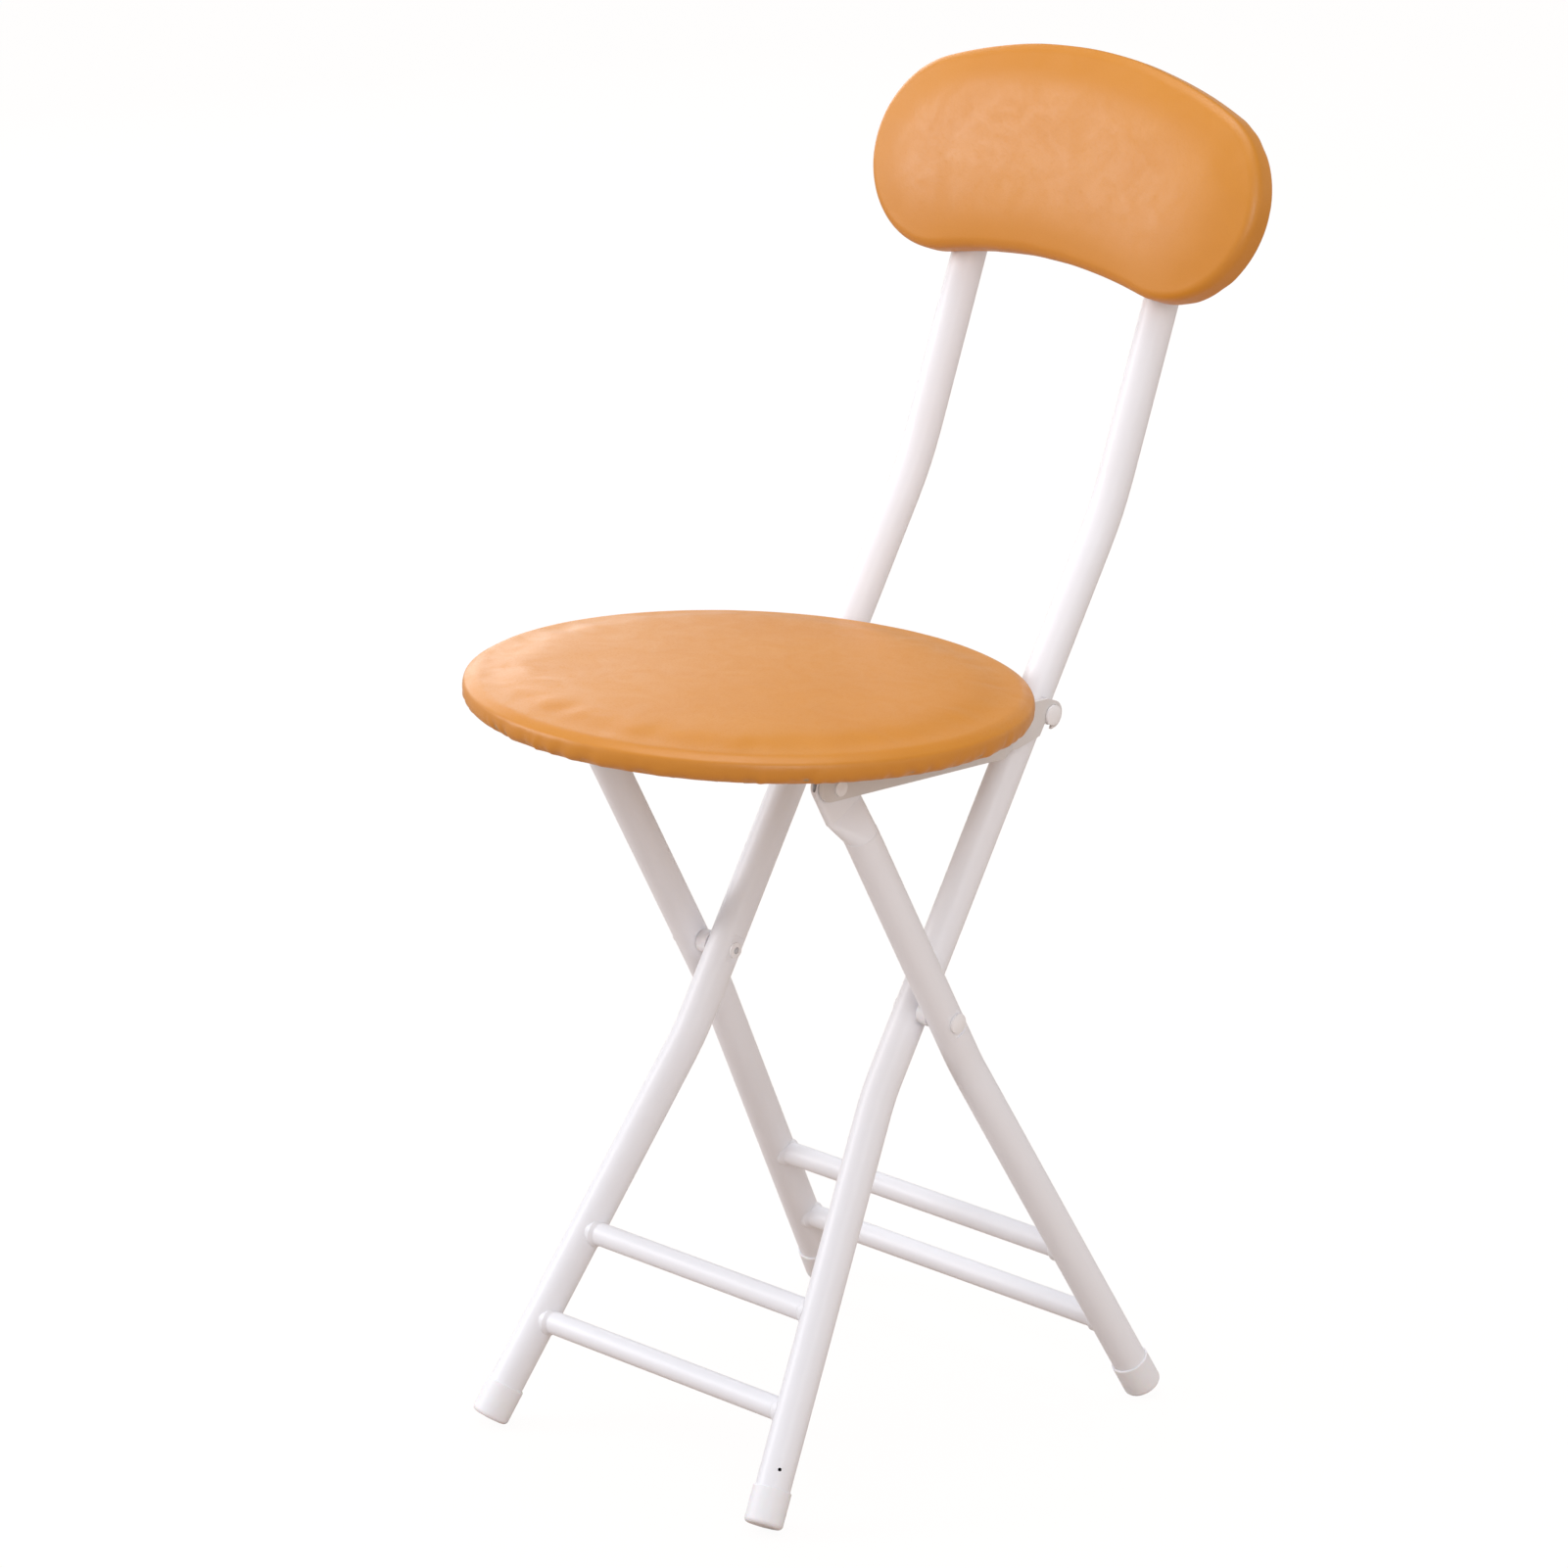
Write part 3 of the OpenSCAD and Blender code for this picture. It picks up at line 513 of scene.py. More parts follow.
def leather_skin() -> Skin:
    """Builds leather cloth: mottled colour, fine pores, and a sheen that varies over soft folds.

    Returns:
        The shader node group.
    """
    skin = Skin("LeatherSkin", {
        "Tone": (0.6, 0.25, 0.05), "Deep": (0.5, 0.18, 0.03), "Pale": (0.66, 0.34, 0.1),
        "Grain Size": 900.0, "Mottle Size": 14.0, "Gloss": 0.42})
    cells = skin.cells(skin.given("Grain Size"), "SMOOTH_F1", Randomness=1.0, Smoothness=0.6)
    fine = skin.noise(skin.given("Grain Size"), 3.0, 0.6)
    broad = skin.noise(skin.given("Mottle Size"), 5.0, 0.58, 0.4)
    folds = skin.noise(46.0, 2.0, 0.5, 1.4)
    paler = skin.mix(skin.span(broad, 0.5, 0.74, 0.55), "Tone", "Pale")
    deeper = skin.mix(skin.span(broad, 0.5, 0.28, 0.6), paler, "Deep")
    pores = skin.span(cells, 0.45, 0.85, 0.16)
    rough = skin.math("ADD", skin.given("Gloss"), skin.span(folds, 0.3, 0.7, 0.045, -0.045))
    bumps = skin.math("MULTIPLY_ADD", cells, -0.75, 0.5)
    grain = skin.math("MULTIPLY_ADD", fine, 0.4, bumps)
    return skin.finish(skin.mix(pores, deeper, "Deep"),
                       skin.math("MULTIPLY_ADD", pores, 0.5, rough),
                       skin.math("MULTIPLY_ADD", folds, 0.35, grain))


def coat_skin() -> Skin:
    """Builds sprayed paint: a thin film of dust, a few specks, and orange peel.

    Returns:
        The shader node group.
    """
    skin = Skin("CoatSkin", {
        "Tone": (0.8, 0.8, 0.82), "Dust": (0.7, 0.68, 0.66), "Peel Size": 420.0, "Gloss": 0.3})
    film = skin.span(skin.noise(22.0, 4.0, 0.6), 0.45, 0.8, 0.22)
    specks = skin.span(skin.cells(260.0), 0.055, 0.03, 0.35)
    return skin.finish(skin.mix(skin.math("MAXIMUM", film, specks), "Tone", "Dust"),
                       skin.math("MULTIPLY_ADD", film, 0.4, skin.given("Gloss")),
                       skin.noise(skin.given("Peel Size"), 2.0, 0.45))


def wood_skin() -> Skin:
    """Builds plywood: broad growth figure and fine dark streaks.

    Returns:
        The shader node group.
    """
    skin = Skin("WoodGrain", {
        "Tone": (0.62, 0.42, 0.22), "Dark": (0.38, 0.22, 0.1), "Figure Size": 26.0, "Gloss": 0.62})
    figure = skin.node("ShaderNodeTexWave", {
        "Vector": skin.drawn_out(0.09), "Scale": skin.given("Figure Size"), "Distortion": 9.0,
        "Detail": 3.0, "Detail Scale": 1.4, "Detail Roughness": 0.6}, bands_direction="X")
    streaks = skin.noise(900.0, 2.0, 0.55, place=skin.drawn_out(0.04))
    figured = skin.mix(skin.span(figure.outputs["Fac"], 0.2, 1.0, 0.6), "Tone", "Dark")
    fleck = skin.span(streaks, 0.56, 0.7, 0.5)
    return skin.finish(skin.mix(fleck, figured, "Dark"),
                       skin.math("MULTIPLY_ADD", fleck, 0.2, skin.given("Gloss")), streaks)


def metal_skin() -> Skin:
    """Builds plated steel: dulled patches and fine scratches.

    Returns:
        The shader node group.
    """
    skin = Skin("PlatedMetal", {
        "Tone": (0.7, 0.7, 0.69), "Dull": (0.46, 0.45, 0.43), "Mottle Size": 240.0, "Gloss": 0.28})
    dull = skin.span(skin.noise(skin.given("Mottle Size"), 4.0, 0.6), 0.42, 0.7)
    return skin.finish(skin.mix(dull, "Tone", "Dull"),
                       skin.math("MULTIPLY_ADD", dull, 0.22, skin.given("Gloss")),
                       skin.noise(2600.0, 2.0, place=skin.drawn_out(0.08)))


def foam_skin() -> Skin:
    """Builds open foam: one pattern of cells in colour, roughness and height.

    Returns:
        The shader node group.
    """
    skin = Skin("FoamCells", {
        "Tone": (0.78, 0.7, 0.46), "Dark": (0.5, 0.42, 0.24), "Cell Size": 700.0, "Gloss": 0.9})
    cells = skin.cells(skin.given("Cell Size"))
    return skin.finish(skin.mix(cells, "Dark", "Tone"),
                       skin.math("MULTIPLY_ADD", cells, 0.08, skin.given("Gloss")), cells)


# Finishes


@dataclass(frozen=True)
class Finish:
    """A finish: which skin it has, that skin's own values, and the shader's constant sockets."""

    name: str
    skin: str
    values: dict[str, float | Colour] = field(default_factory=dict)
    shader: dict[str, float | Colour] = field(default_factory=dict)
    bump: float = 0.2
    bump_depth: float = 0.0001


class FinishBook:
    """Makes each finish's material once, from shared skins."""

    MAKERS: dict[str, Callable[[], Skin]] = {
        "leather": leather_skin, "coat": coat_skin, "wood": wood_skin, "metal": metal_skin,
        "foam": foam_skin,
    }

    def __init__(self) -> None:
        """Starts an empty book."""
        self.skins: dict[str, Skin] = {}
        self.made: dict[str, bpy.types.Material] = {}

    def material(self, finish: Finish) -> bpy.types.Material:
        """Finds the material of a finish, or makes it when it is first asked for.

        Args:
            finish: The finish.

        Returns:
            Its material.
        """
        if finish.name in self.made:
            return self.made[finish.name]
        if finish.skin not in self.skins:
            self.skins[finish.skin] = self.MAKERS[finish.skin]()
        material = bpy.data.materials.new(finish.name)
        material.use_nodes = True
        tree = material.node_tree
        shader = tree.nodes["Principled BSDF"]
        skin = add_node(tree, "ShaderNodeGroup", node_tree=self.skins[finish.skin].tree)
        for label, value in finish.values.items():
            skin.inputs[label].default_value = opaque(value)
        bump = add_node(tree, "ShaderNodeBump", {
            "Height": skin.outputs["Height"], "Strength": finish.bump,
            "Distance": finish.bump_depth})
        tree.links.new(skin.outputs["Colour"], shader.inputs["Base Color"])
        tree.links.new(skin.outputs["Roughness"], shader.inputs["Roughness"])
        tree.links.new(bump.outputs["Normal"], shader.inputs["Normal"])
        for label, value in finish.shader.items():
            shader.inputs[label].default_value = opaque(value)
        self.made[finish.name] = material
        return material


LEATHER = Finish("tan_leather", "leather", {
    "Tone": (0.615, 0.236, 0.018), "Deep": (0.585, 0.214, 0.014), "Pale": (0.635, 0.254, 0.024),
    "Grain Size": 1050.0, "Mottle Size": 9.0, "Gloss": 0.41,
}, {"Specular IOR Level": 0.6},
    bump=0.2, bump_depth=0.00015)
PANEL = Finish("backrest_panel_vinyl", "leather", {
    "Tone": (0.56, 0.2, 0.028), "Deep": (0.49, 0.16, 0.02), "Pale": (0.59, 0.235, 0.045),
    "Grain Size": 1400.0, "Mottle Size": 16.0, "Gloss": 0.5,
}, {"Specular IOR Level": 0.4},
    bump=0.3, bump_depth=0.00012)
WHITE_COAT = Finish("white_powder_coat", "coat", {
    "Tone": (0.865, 0.87, 0.905), "Dust": (0.845, 0.845, 0.87), "Peel Size": 420.0, "Gloss": 0.34,
}, {"Specular IOR Level": 0.32, "Coat Weight": 0.04, "Coat Roughness": 0.12},
    bump=0.05, bump_depth=0.0001)
# The rail's coat is the white coat made darker and warmer: painted shade, standing in for the
# seat's shadow over the rail.
SHADED_RAIL_COAT = Finish("white_rail_coat", "coat", {
    "Tone": (0.71, 0.685, 0.67), "Dust": (0.67, 0.64, 0.62), "Peel Size": 520.0, "Gloss": 0.32,
}, {"Specular IOR Level": 0.35, "Coat Weight": 0.05, "Coat Roughness": 0.16},
    bump=0.09, bump_depth=0.0001)
# The rivets' coat is the white coat made lighter and glossier: the extra lightness is a painted
# highlight that lifts the heads off the darker rail.
LIT_RIVET_COAT = Finish("white_rivet_coat", "coat", {
    "Tone": (0.9, 0.895, 0.91), "Dust": (0.84, 0.83, 0.83), "Peel Size": 700.0, "Gloss": 0.2,
}, {"Specular IOR Level": 0.6, "Coat Weight": 0.25, "Coat Roughness": 0.1},
    bump=0.06, bump_depth=0.0001)
WHITE_PLASTIC = Finish("white_moulded_plastic", "coat", {
    "Tone": (0.87, 0.865, 0.89), "Dust": (0.82, 0.805, 0.815), "Peel Size": 1500.0, "Gloss": 0.4,
}, {"Specular IOR Level": 0.3, "Subsurface Weight": 0.08, "Subsurface Scale": 0.002},
    bump=0.12, bump_depth=0.00008)
ZINC = Finish("zinc_plated_steel", "metal", {"Gloss": 0.3}, {"Metallic": 1.0},
              bump=0.1, bump_depth=0.00005)
PLYWOOD = Finish("raw_plywood", "wood", {}, {"Specular IOR Level": 0.3}, bump=0.25,
                 bump_depth=0.0002)
FOAM = Finish("soft_foam", "foam", {}, {"Specular IOR Level": 0.2}, bump=0.6, bump_depth=0.0004)


# Soft pads


@dataclass
class PadShape:
    """A pad's plan: points, faces and rim of its crowned face, with each rim point's way out."""

    plan: np.ndarray
    depth: np.ndarray
    quads: list[tuple[int, ...]]
    rim: list[int]
    out: np.ndarray


@dataclass(frozen=True)
class Pleats:
    """Gathers where the cloth is drawn round the board, in millimetres and degrees."""

    count: int
    deepest: float
    widest: float
    tallest: float
    seed: int

    NARROWEST_SHARE: ClassVar[float] = 0.35
    SHORTEST_SHARE: ClassVar[float] = 0.45
    SHALLOWEST_SHARE: ClassVar[float] = 0.25
    LEAN: ClassVar[float] = 0.25
    RIDGE_SHARE: ClassVar[float] = 0.45


@dataclass
class Pad:
    """A leather pad over a board: a crowned cup of foam and cloth, open where the board is.

    SOFT_SIDE is how far down the side the foam can push the cloth out, HEM_DOWN and LOWEST are
    how low the hem lies and how low gathers reach, and SLOW_WAVES are the depth, number and
    start of the waves that the hand's work leaves round the side.

    Attributes:
        name: Name of the finished piece.
        place: Frame that the pad is drawn in.
        shape: Plan of the crowned face.
        crown: Height of the face at a distance from the pad's edge.
        outside: Steps out from the rim and heights, from the face round to the hem.
        inside: The same, from the hem back along the board to its top.
        board_top: Height of the pad's own underside over the board.
        free: 1 for each point that the foam can move and 0 for the others, once they are laid out.
    """

    name: str
    place: Matrix
    shape: PadShape
    crown: Callable[[np.ndarray], np.ndarray]
    outside: list[tuple[float, float]]
    inside: list[tuple[float, float]]
    board_top: float
    free: np.ndarray = field(init=False)

    CLOTH: ClassVar[dict[str, float | bool]] = {
        "quality": 6, "mass": 0.35, "tension_stiffness": 18, "compression_stiffness": 18,
        "shear_stiffness": 6, "bending_stiffness": 0.6, "use_pressure": True,
        "uniform_pressure_force": 4,
    }
    FRAMES: ClassVar[int] = 20
    SOFT_SIDE: ClassVar[float] = 4.0
    HEM_DOWN: ClassVar[float] = 1.0
    LOWEST: ClassVar[float] = -1.6
    SIDE_FROM: ClassVar[float] = 0.15
    SIDE_SPAN: ClassVar[float] = 0.5
    SLOW_WAVES: ClassVar[tuple[tuple[float, int, float], ...]] = (
        (0.10, 3, 0.6), (0.07, 7, 2.0), (0.05, 12, 4.0))

    def points_and_faces(self) -> tuple[np.ndarray, list[tuple[int, ...]]]:
        """Lays out the closed cup.

        Returns:
            Points in millimetres, and faces.
        """
        shape = self.shape
        face = np.column_stack([shape.plan, self.crown(shape.depth)])
        under = np.column_stack([shape.plan, np.full(len(shape.plan), self.board_top)])
        points = [face]
        faces = list(shape.quads)
        ring_size = len(shape.rim)
        last = np.array(shape.rim)
        total = len(face)
        rim_plan = shape.plan[shape.rim]
        free = [1.0] * len(face)
        for number, (step, height) in enumerate(self.outside + self.inside):
            ring = np.column_stack([rim_plan + shape.out * step, np.full(ring_size, height)])
            points.append(ring)
            now = np.arange(total, total + ring_size)
            faces += self.band(last, now)
            last, total = now, total + ring_size
            free += [1.0 if number < self.soft_rings() else 0.0] * ring_size
        points.append(under)
        faces += self.band(last, np.array(shape.rim) + total)
        faces += [tuple(total + i for i in reversed(quad)) for quad in shape.quads]
        free += [0.0] * len(under)
        self.free = np.array(free)
        return np.vstack(points), faces

    def soft_rings(self) -> int:
        """Returns how many of the outside's rings the foam can push out."""
        top = self.outside[0][1]
        return sum(1 for _, height in self.outside if height > top - self.SOFT_SIDE)

    @staticmethod
    def band(first: np.ndarray, second: np.ndarray) -> list[tuple[int, ...]]:
        """Joins two rings of equal length.

        Args:
            first: Point numbers of one ring.
            second: Point numbers of the other.

        Returns:
            The faces between them.
        """
        turn = np.roll(np.arange(len(first)), -1)
        return [(int(first[i]), int(second[i]), int(second[j]), int(first[j]))
                for i, j in enumerate(turn)]

    def build(self, swell: float, pleats: Pleats) -> bpy.types.Object:
        """Makes the pad: simulates its cloth under the foam's pressure, then gathers it.

        Args:
            swell: Most that a point of the cloth moves, in millimetres.
            pleats: The gathers along the pad's lower edge.

        Returns:
            The finished piece, at the origin.
        """
        points, faces = self.points_and_faces()
        cloth = mesh_object(self.name, points, faces, self.place)
        face_outwards(cloth)
        self.swell(cloth, swell)
        cloth.modifiers.new("Round", "SUBSURF").levels = 1
        cloth.modifiers["Round"].render_levels = 1
        pad = baked(cloth)
        self.gather(pad, pleats)
        pad.data.shade_smooth()
        return pad

    def swell(self, cloth: bpy.types.Object, most: float) -> None:
        """Simulates the cloth with pressure inside, and keeps its movement within a limit.

        Args:
            cloth: The cloth's mesh object.
            most: Most that a point moves, in millimetres.
        """
        start = rows_of(cloth.data.vertices, "co")
        held = cloth.vertex_groups.new(name="held")
        for index, free in enumerate(self.free[: len(start)]):
            if free < 0.5:
                held.add([index], 1.0, "REPLACE")
        modifier = cloth.modifiers.new("Cloth", "CLOTH")
        setting = modifier.settings
        setting.vertex_group_mass = "held"
        for label, value in self.CLOTH.items():
            setattr(setting, label, value)
        setting.effector_weights.gravity = 0
        modifier.collision_settings.use_collision = False
        modifier.collision_settings.use_self_collision = False
        scene = bpy.context.scene
        modifier.point_cache.frame_start = 1
        modifier.point_cache.frame_end = self.FRAMES
        for number in range(1, self.FRAMES + 1):
            scene.frame_set(number)
        moved = cloth.evaluated_get(bpy.context.evaluated_depsgraph_get()).to_mesh()
        shift = self.calmed(cloth, rows_of(moved.vertices, "co") - start)
        length = np.linalg.norm(shift, axis=1, keepdims=True)
        LOG.info("%s: cloth moved up to %.1f mm", self.name, float(length.max()) / MM)
        cap = most * MM
        held_back = cap * np.tanh(length / cap) / np.maximum(length, NO_LENGTH)
        shift *= np.where(length > NO_LENGTH, held_back, 0.0)
        cloth.modifiers.clear()
        scene.frame_set(1)
        cloth.data.vertices.foreach_set("co", (start + shift).ravel())
        cloth.data.update()

    @staticmethod
    def calmed(cloth: bpy.types.Object, shift: np.ndarray, rounds: int = 14) -> np.ndarray:
        """Evens out the cloth's movement, so that it swells without creasing.

        Args:
            cloth: The cloth's mesh object.
            shift: Movement of each point.
            rounds: How many times each point takes its neighbours' mean.

        Returns:
            The evened movement.
        """
        edges = np.empty(len(cloth.data.edges) * 2, dtype=np.int64)
        cloth.data.edges.foreach_get("vertices", edges)
        first, second = edges.reshape(-1, 2).T
        moved = np.linalg.norm(shift, axis=1) > STILL
        count = np.bincount(first, minlength=len(shift)) + np.bincount(second, minlength=len(shift))
        for _ in range(rounds):
            total = np.zeros_like(shift)
            np.add.at(total, first, shift[second])
            np.add.at(total, second, shift[first])
            shift = np.where(moved[:, None], 0.5 * shift + 0.5 * total / count[:, None], shift)
        return shift

    def gather(self, pad: bpy.types.Object, pleats: Pleats) -> None:
        """Presses small gathers into the cloth along the pad's lower edge.

        Args:
            pad: The pad's mesh object.
            pleats: The gathers.
        """
        world = rows_of(pad.data.vertices, "co")
        normal = rows_of(pad.data.vertices, "normal")
        back = np.array(self.place.inverted())
        local = (world @ back[:3, :3].T + back[:3, 3]) / MM
        facing = normal @ back[:3, :3].T
        middle = self.shape.plan.mean(axis=0)
        angle = np.arctan2(local[:, 1] - middle[1], local[:, 0] - middle[0])
        outer = self.outer_mask(local, facing)
        draw = random.Random(pleats.seed)
        rise = local[:, 2] + self.HEM_DOWN
        depth = np.zeros(len(world))
        for _ in range(pleats.count):
            at = draw.uniform(-math.pi, math.pi)
            wide = math.radians(draw.uniform(pleats.NARROWEST_SHARE, 1.0) * pleats.widest)
            tall = draw.uniform(pleats.SHORTEST_SHARE, 1.0) * pleats.tallest
            deep = draw.uniform(pleats.SHALLOWEST_SHARE, 1.0) * pleats.deepest
            lean = math.radians(draw.uniform(-pleats.LEAN, pleats.LEAN))
            off = angle - at - lean * rise
            off = (off + math.pi) % (2 * math.pi) - math.pi
            fade = 1.0 - smooth_step(rise / tall)
            depth += deep * fade * (np.exp(-(off / wide) ** 2)
                                    - pleats.RIDGE_SHARE * np.exp(-((off - 2 * wide) / wide) ** 2))
        slow = sum(deep * np.sin(number * angle + start) for deep, number, start in self.SLOW_WAVES)
        world = world - normal * (outer * (depth + slow))[:, None] * MM
        pad.data.vertices.foreach_set("co", world.ravel())
        pad.data.update()

    def outer_mask(self, local: np.ndarray, facing: np.ndarray) -> np.ndarray:
        """Works out how much of the gathers each point takes.

        Args:
            local: The points' places in the pad's frame, in millimetres.
            facing: The way that each faces, in the same frame.

        Returns:
            1 on the side, 0 elsewhere, and shares between them.
        """
        sideways = np.linalg.norm(facing[:, :2], axis=1)
        offset = local[:, :2] - self.shape.plan.mean(axis=0)
        outward = np.einsum("ij,ij->i", facing[:, :2], offset) > 0
        above = local[:, 2] > self.LOWEST
        return smooth_step((sideways - self.SIDE_FROM) / self.SIDE_SPAN) * outward * above


@dataclass
class SeatPad:
    """The round seat's leather pad: its sizes, its frame and the finishes."""

    sizes: SeatSizes
    place: Matrix
    book: FinishBook

    TOP_STEPS: ClassVar[int] = 7
    LOW_STEPS: ClassVar[int] = 5
    BOARD_STEPS: ClassVar[int] = 4
    SWELL: ClassVar[float] = 1.5
    PLEATS: ClassVar[Pleats] = Pleats(count=170, deepest=0.8, widest=1.5, tallest=14.0, seed=11)

    def plan(self, cells: int = 84) -> PadShape:
        """Lays a grid of squares onto the crowned face's disc.

        Args:
            cells: Squares along each side of the grid.

        Returns:
            The plan, whose rim is where the top's rounding starts.
        """
        radius = self.sizes.radius - self.sizes.top_round
        side = np.linspace(-1.0, 1.0, cells + 1)
        spots = np.array([disc_point(a, b) for b in side for a in side])
        plan = spots * radius
        quads = grid_quads(cells, cells)
        rim = grid_rim(cells, cells)
        out = plan[rim] / np.linalg.norm(plan[rim], axis=1, keepdims=True)
        depth = self.sizes.radius - np.linalg.norm(plan, axis=1)
        return PadShape(plan, depth, quads, rim, out)

    def crown(self, depth: np.ndarray) -> np.ndarray:
        """Works out the crowned face's height.

        Args:
            depth: Distances from the seat's edge.

        Returns:
            The height at each.
        """
        s = self.sizes
        share = (s.radius - depth) / (s.radius - s.top_round)
        return s.edge_top + s.crown * (1.0 - share ** 2) - s.shoulder_drop * (1.0 - share ** 4)

    def outside(self) -> list[tuple[float, float]]:
        """Lays out the rings from the crowned face round to the hem.

        Returns:
            Each ring's step out from the rim, and its height.
        """
        s = self.sizes
        start = s.radius - s.top_round
        top = arc((start, s.edge_top - s.top_round), s.top_round, 90.0, 0.0,
                  self.TOP_STEPS)[1:]
        low = arc((s.radius - s.bottom_round, s.bottom_round - s.cloth), s.bottom_round,
                  0.0, -90.0, self.LOW_STEPS)
        return [(r - start, z) for r, z in top + [(s.radius, s.side_middle)] + low
                + hem_rings(s, s.radius)]

    def inside(self) -> list[tuple[float, float]]:
        """Lays out the rings from the hem back along the board.

        Returns:
            Each ring's step out from the rim, and its height.
        """
        s = self.sizes
        start = s.radius - s.top_round
        edge = s.board_radius + s.gap
        hem = [(s.radius - s.hem, -s.gap)]
        low = arc((edge - s.board_round - s.gap, s.board_round), s.board_round + s.gap,
                  -90.0, 0.0, self.BOARD_STEPS)
        return [(r - start, z) for r, z in hem + low + [(edge, s.board_top + s.gap)]]

    def build(self) -> bpy.types.Object:
        """Makes the leather pad and gives it its finish.

        Returns:
            The seat's pad.
        """
        pad = Pad("seat_pad", self.place, self.plan(), self.crown, self.outside(), self.inside(),
                  self.sizes.board_top + self.sizes.gap)
        piece = pad.build(self.SWELL, self.PLEATS)
        piece.data.materials.append(self.book.material(LEATHER))
        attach(piece, Body.SEAT.value)
        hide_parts("seat_cover", "seat_foam")
        return piece


@dataclass
class RestPad:
    """The bean-shaped backrest's leather pad: its sizes, its frame and the finishes."""

    sizes: RestSizes
    place: Matrix
    book: FinishBook

    FRONT_STEPS: ClassVar[int] = 6
    BACK_STEPS: ClassVar[int] = 4
    SWELL: ClassVar[float] = 1.6
    PLEATS: ClassVar[Pleats] = Pleats(count=46, deepest=0.2, widest=1.7, tallest=7.0, seed=23)

    def __post_init__(self) -> None:
        """Works out the centres and the end angles of the bean's two long arcs."""
        s = self.sizes
        self.top_centre = (0.0, s.top_up - s.top_arc_r)
        self.waist_centre = (0.0, s.dip_up - s.waist_arc_r)
        self.top_angle = math.atan2(s.lobe_up - self.top_centre[1], s.lobe_x)
        self.waist_angle = math.atan2(s.lobe_up - self.waist_centre[1], s.lobe_x)

    def spot(self, column: float, row: float, inset: float) -> tuple[float, float]:
        """Places a point of the plan.

        Args:
            column: From -2 at the left lobe's tip to 2 at the right one's; the lobes' centres
                are at -1 and 1.
            row: From -1 on the waist's side to 1 on the top's.
            inset: How far the plan stays inside the outline.

        Returns:
            The point, in the backrest's frame.
        """
        s = self.sizes
        if abs(column) <= 1.0:
            middle = (column * s.lobe_x,
                      s.lobe_up + ((s.dip_up + s.top_up) / 2 - s.lobe_up) * (1.0 - column ** 2))
            if row >= 0:
                angle = math.pi / 2 - column * (math.pi / 2 - self.top_angle)
                radius, centre = s.top_arc_r - inset, self.top_centre
            else:
                angle = math.pi / 2 - column * (math.pi / 2 - self.waist_angle)
                radius, centre = s.waist_arc_r + inset, self.waist_centre
            edge = (centre[0] + radius * math.cos(angle), centre[1] + radius * math.sin(angle))
            share = abs(row)
            return (middle[0] + share * (edge[0] - middle[0]),
                    middle[1] + share * (edge[1] - middle[1]))
        side = math.copysign(1.0, column)
        x, y = disc_point(abs(column) - 1.0, row)
        reach = math.hypot(x, y)
        turn = (math.atan2(y, x) + math.pi / 2) / math.pi
        low = self.waist_angle - math.pi
        angle = low + turn * (self.top_angle - low)
        radius = (s.lobe_r - inset) * reach
        return (side * (s.lobe_x + radius * math.cos(angle)), s.lobe_up + radius * math.sin(angle))

    def way_out(self, point: Sequence[float]) -> tuple[float, float, float]:
        """Finds the nearest way out of the bean from a point.

        Args:
            point: A point inside the outline.

        Returns:
            The way out as a unit vector's x and y, and the distance to the outline.
        """
        s = self.sizes
        x, y = point
        side = math.copysign(1.0, x) if x else 1.0
        dx, dy = abs(x) - s.lobe_x, y - s.lobe_up
        turn = math.atan2(dy, dx)
        if self.waist_angle - math.pi <= turn <= self.top_angle:
            reach = math.hypot(dx, dy)
            return (side * dx / max(reach, NO_LENGTH), dy / max(reach, NO_LENGTH), s.lobe_r - reach)
        top = math.hypot(x, y - self.top_centre[1])
        waist = math.hypot(x, y - self.waist_centre[1])
        to_top, to_waist = s.top_arc_r - top, waist - s.waist_arc_r
        if to_top < to_waist:
            return (x / top, (y - self.top_centre[1]) / top, to_top)
        return (-x / waist, -(y - self.waist_centre[1]) / waist, to_waist)

    def plan(self, rows: int = 26, columns: int = 36) -> PadShape:
        """Lays a grid of squares onto the bean.

        Args:
            rows: Squares from the waist to the top.
            columns: Squares between the lobes' centres.

        Returns:
            The plan, whose rim is where the front's rounding starts.
        """
        inset = self.sizes.front_round
        half = rows // 2
        ends = [1.0 + i / half for i in range(1, half + 1)]
        line = ([-e for e in reversed(ends)]
                + [-1.0 + 2.0 * i / columns for i in range(columns + 1)] + ends)
        side = np.linspace(-1.0, 1.0, rows + 1)
        plan = np.array([self.spot(a, b, inset) for b in side for a in line])
        wide = len(line) - 1
        rim = grid_rim(wide, rows)
        ways = [self.way_out(p) for p in plan]
        depth = np.array([w[2] for w in ways])
        out = np.array([ways[i][:2] for i in rim])
        return PadShape(plan, depth, grid_quads(wide, rows), rim, out)

    def crown(self, depth: np.ndarray) -> np.ndarray:
        """Works out the crowned face's height.

        Args:
            depth: Distances from the backrest's edge.

        Returns:
            The height at each.
        """
        s = self.sizes
        share = np.clip((depth - s.front_round) / (s.lobe_r - s.front_round), 0.0, 1.0)
        rise = 1.0 - (1.0 - share) ** 2
        return s.edge_top + (s.crown - s.flat_edge) * rise

    def outside(self) -> list[tuple[float, float]]:
        """Lays out the rings from the front round to the hem.

        Returns:
            Each ring's step out from the rim, and its height.
        """
        s = self.sizes
        front = arc((0.0, s.edge_top - s.front_round), s.front_round, 90.0, 0.0,
                    self.FRONT_STEPS)[1:]
        back = arc((s.front_round - s.back_round, s.back_round - s.cloth), s.back_round,
                   0.0, -90.0, self.BACK_STEPS)
        return front + [(s.front_round, s.side_middle)] + back + hem_rings(s, s.front_round)

